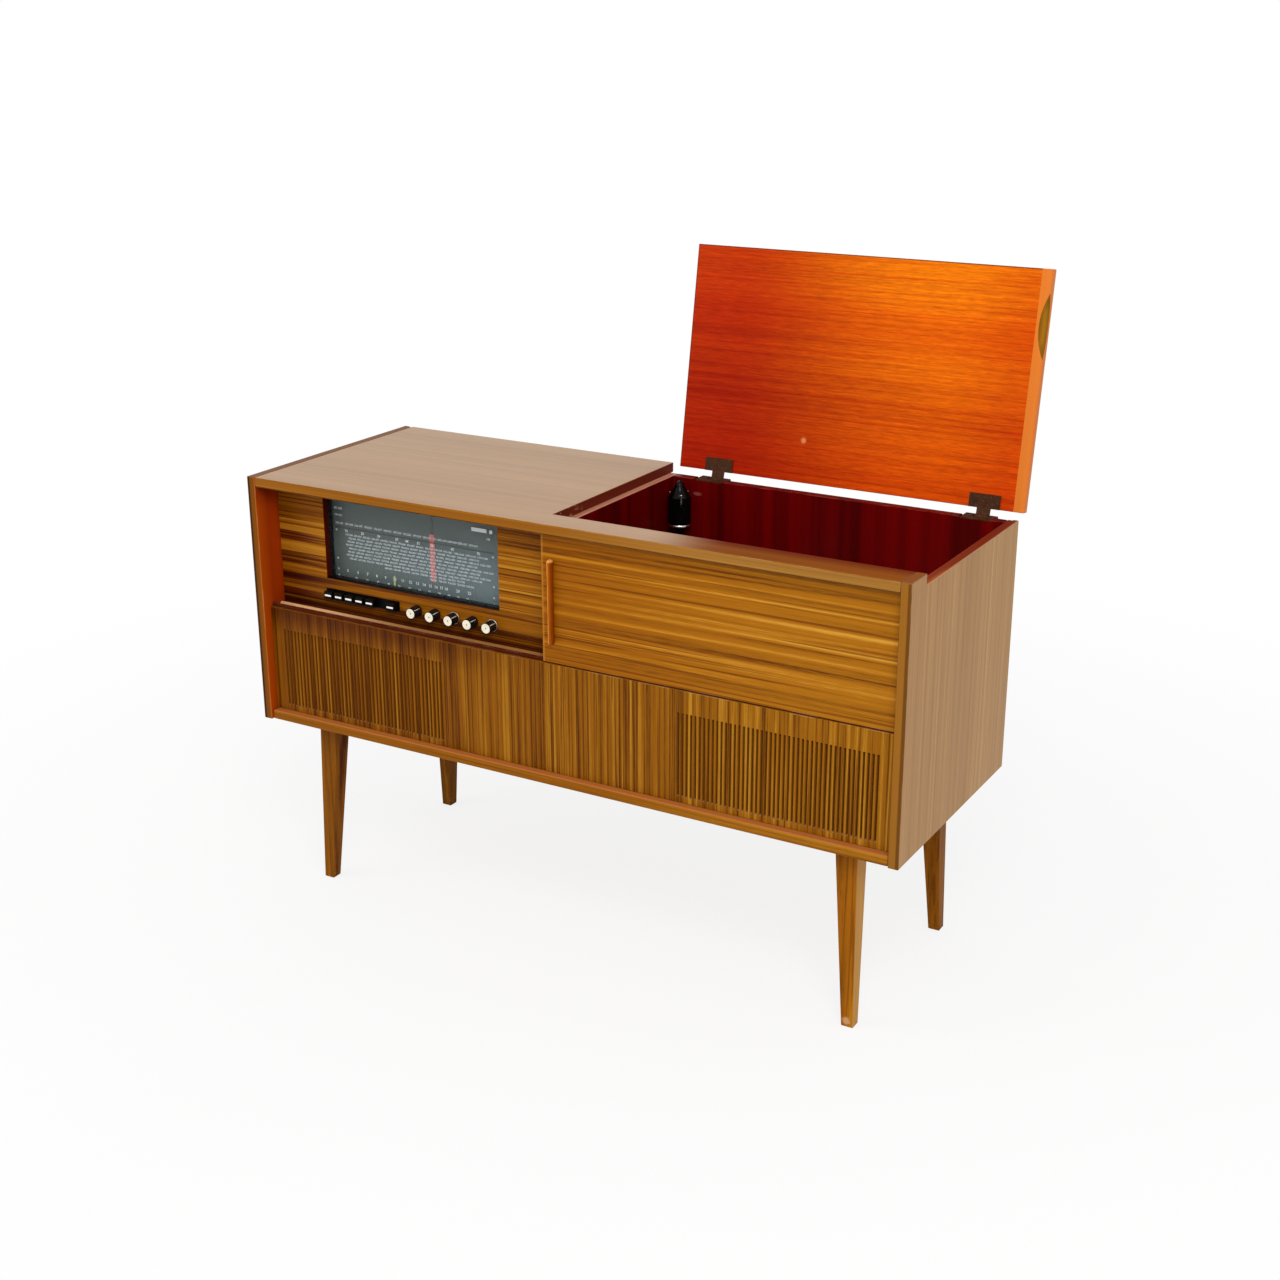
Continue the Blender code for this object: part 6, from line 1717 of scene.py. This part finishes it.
# The lamps' places and sizes, and the point they face
KEY_PLACE = (1.7, -2.4, 2.9)
KEY_SIZE = 1.6
FILL_PLACE = (-2.4, -2.0, 1.9)
FILL_SIZE = 1.8
LAMP_AIM = Vector((0.0, 0.0, 0.5))

FLOOR_SIZE = 14.0
SENSOR = 36.0
WHITE = (1.0, 1.0, 1.0, 1.0)


class CONSOLE_OT_studio(bpy.types.Operator):
    """Set the pale floor, the soft light and the camera."""

    bl_idname = "console.studio"
    bl_label = "Studio"

    def execute(self, context):
        studio = context.scene.console_studio
        context.scene.view_settings.view_transform = "Standard"
        self.floor()
        self.sky(context.scene, studio)
        self.lamp("key_lamp", KEY_PLACE, KEY_SIZE, studio.key_power)
        self.lamp("fill_lamp", FILL_PLACE, FILL_SIZE, studio.fill_power)
        self.camera(context.scene, studio)
        return {"FINISHED"}

    def floor(self):
        """A wide white floor that keeps the console's shadow and fades into the white round it."""
        made = begin("floor", "plane", size=FLOOR_SIZE)
        bpy.ops.mesh.subdivide(number_cuts=3)
        settle(made)
        finish = Finish("floor_white", 0.85, 0.1)
        cloud = finish.noise(1.2, 2.0)
        finish.paint(finish.ramp(cloud, (0.3, (0.90, 0.89, 0.89, 1.0)), (0.7, (0.92, 0.915, 0.915, 1.0))))
        away = finish.add("VectorMath", {0: finish.place}, operation="LENGTH").outputs["Value"]
        seen = finish.add("LightPath").outputs["Is Camera Ray"]
        share = finish.both(finish.spread(away, 0.5, 2.2, 0.80, 1.0), seen)
        finish.cover(share, finish.add("Emission", {"Color": WHITE, "Strength": 1.0}))
        dress(finish, "floor")

    def sky(self, scene, studio):
        """Even light from all round, seen as plain white by the camera, by gloss and through glass."""
        world = bpy.data.worlds.new("studio")
        scene.world = world
        world.use_nodes = True
        tree = world.node_tree
        light = tree.nodes["Background"]
        path = tree.nodes.new("ShaderNodeLightPath")
        seen = path.outputs["Is Camera Ray"]
        for ray in ("Is Glossy Ray", "Is Transmission Ray"):
            either = tree.nodes.new("ShaderNodeMath")
            either.operation = "MAXIMUM"
            tree.links.new(seen, either.inputs[0])
            tree.links.new(path.outputs[ray], either.inputs[1])
            seen = either.outputs[0]
        strength = tree.nodes.new("ShaderNodeMapRange")
        strength.inputs["To Min"].default_value = studio.sky
        tree.links.new(seen, strength.inputs["Value"])
        tree.links.new(strength.outputs[0], light.inputs["Strength"])
        light.inputs["Color"].default_value = WHITE

    def lamp(self, name, place, size, power):
        """A square soft lamp that faces the console."""
        data = bpy.data.lights.new(name, "AREA")
        data.size = size
        data.energy = power
        lamp = bpy.data.objects.new(name, data)
        bpy.context.scene.collection.objects.link(lamp)
        lamp.location = place
        lamp.rotation_euler = (LAMP_AIM - Vector(place)).to_track_quat("-Z", "Y").to_euler()

    def camera(self, scene, studio):
        """The photograph's own viewpoint."""
        data = bpy.data.cameras.new("camera")
        data.lens = studio.lens
        data.sensor_width = SENSOR
        camera = bpy.data.objects.new("camera", data)
        scene.collection.objects.link(camera)
        ahead = Vector((-math.sin(studio.azimuth) * math.cos(studio.elevation),
                        math.cos(studio.azimuth) * math.cos(studio.elevation), -math.sin(studio.elevation)))
        right = Vector((math.cos(studio.azimuth), math.sin(studio.azimuth), 0.0))
        up = right.cross(ahead)
        tipped_right = math.cos(studio.roll) * right + math.sin(studio.roll) * up
        tipped_up = math.cos(studio.roll) * up - math.sin(studio.roll) * right
        turn = Matrix((tipped_right, tipped_up, -ahead)).transposed().to_4x4()
        camera.matrix_world = Matrix.Translation(studio.camera_place) @ turn
        scene.camera = camera


OPERATORS = (CONSOLE_OT_finish_boards, CONSOLE_OT_finish_well, CONSOLE_OT_finish_works, CONSOLE_OT_knobs,
             CONSOLE_OT_keys, CONSOLE_OT_door_handle, CONSOLE_OT_dial_print, CONSOLE_OT_pointers,
             CONSOLE_OT_stacking_spindle, CONSOLE_OT_platter, CONSOLE_OT_tonearm, CONSOLE_OT_speed_selector,
             CONSOLE_OT_screws, CONSOLE_OT_studio)


class CONSOLE_PT_steps(bpy.types.Panel):
    """Lists the console's steps and settings."""

    bl_label = "Radio phonograph console"
    bl_idname = "CONSOLE_PT_steps"
    bl_space_type = "VIEW_3D"
    bl_region_type = "UI"
    bl_category = "Console"

    def draw(self, context):
        layout = self.layout
        for operator in OPERATORS:
            layout.operator(operator.bl_idname)
        for name, group in SETTINGS.items():
            box = layout.box()
            box.label(text=group.__doc__)
            for setting in group.__annotations__:
                box.prop(getattr(context.scene, name), setting)


def register():
    """Add the settings, operators and panel to Blender."""
    for name, group in SETTINGS.items():
        bpy.utils.register_class(group)
        setattr(bpy.types.Scene, name, PointerProperty(type=group))
    for item in (*OPERATORS, CONSOLE_PT_steps):
        bpy.utils.register_class(item)


def unregister():
    """Take the settings, operators and panel away again."""
    for item in (CONSOLE_PT_steps, *reversed(OPERATORS)):
        bpy.utils.unregister_class(item)
    for name, group in SETTINGS.items():
        delattr(bpy.types.Scene, name)
        bpy.utils.unregister_class(group)


def main():
    """Dress the console step by step."""
    register()
    for operator in OPERATORS:
        group, step = operator.bl_idname.split(".")
        getattr(getattr(bpy.ops, group), step)()


if __name__ == "__main__":
    main()
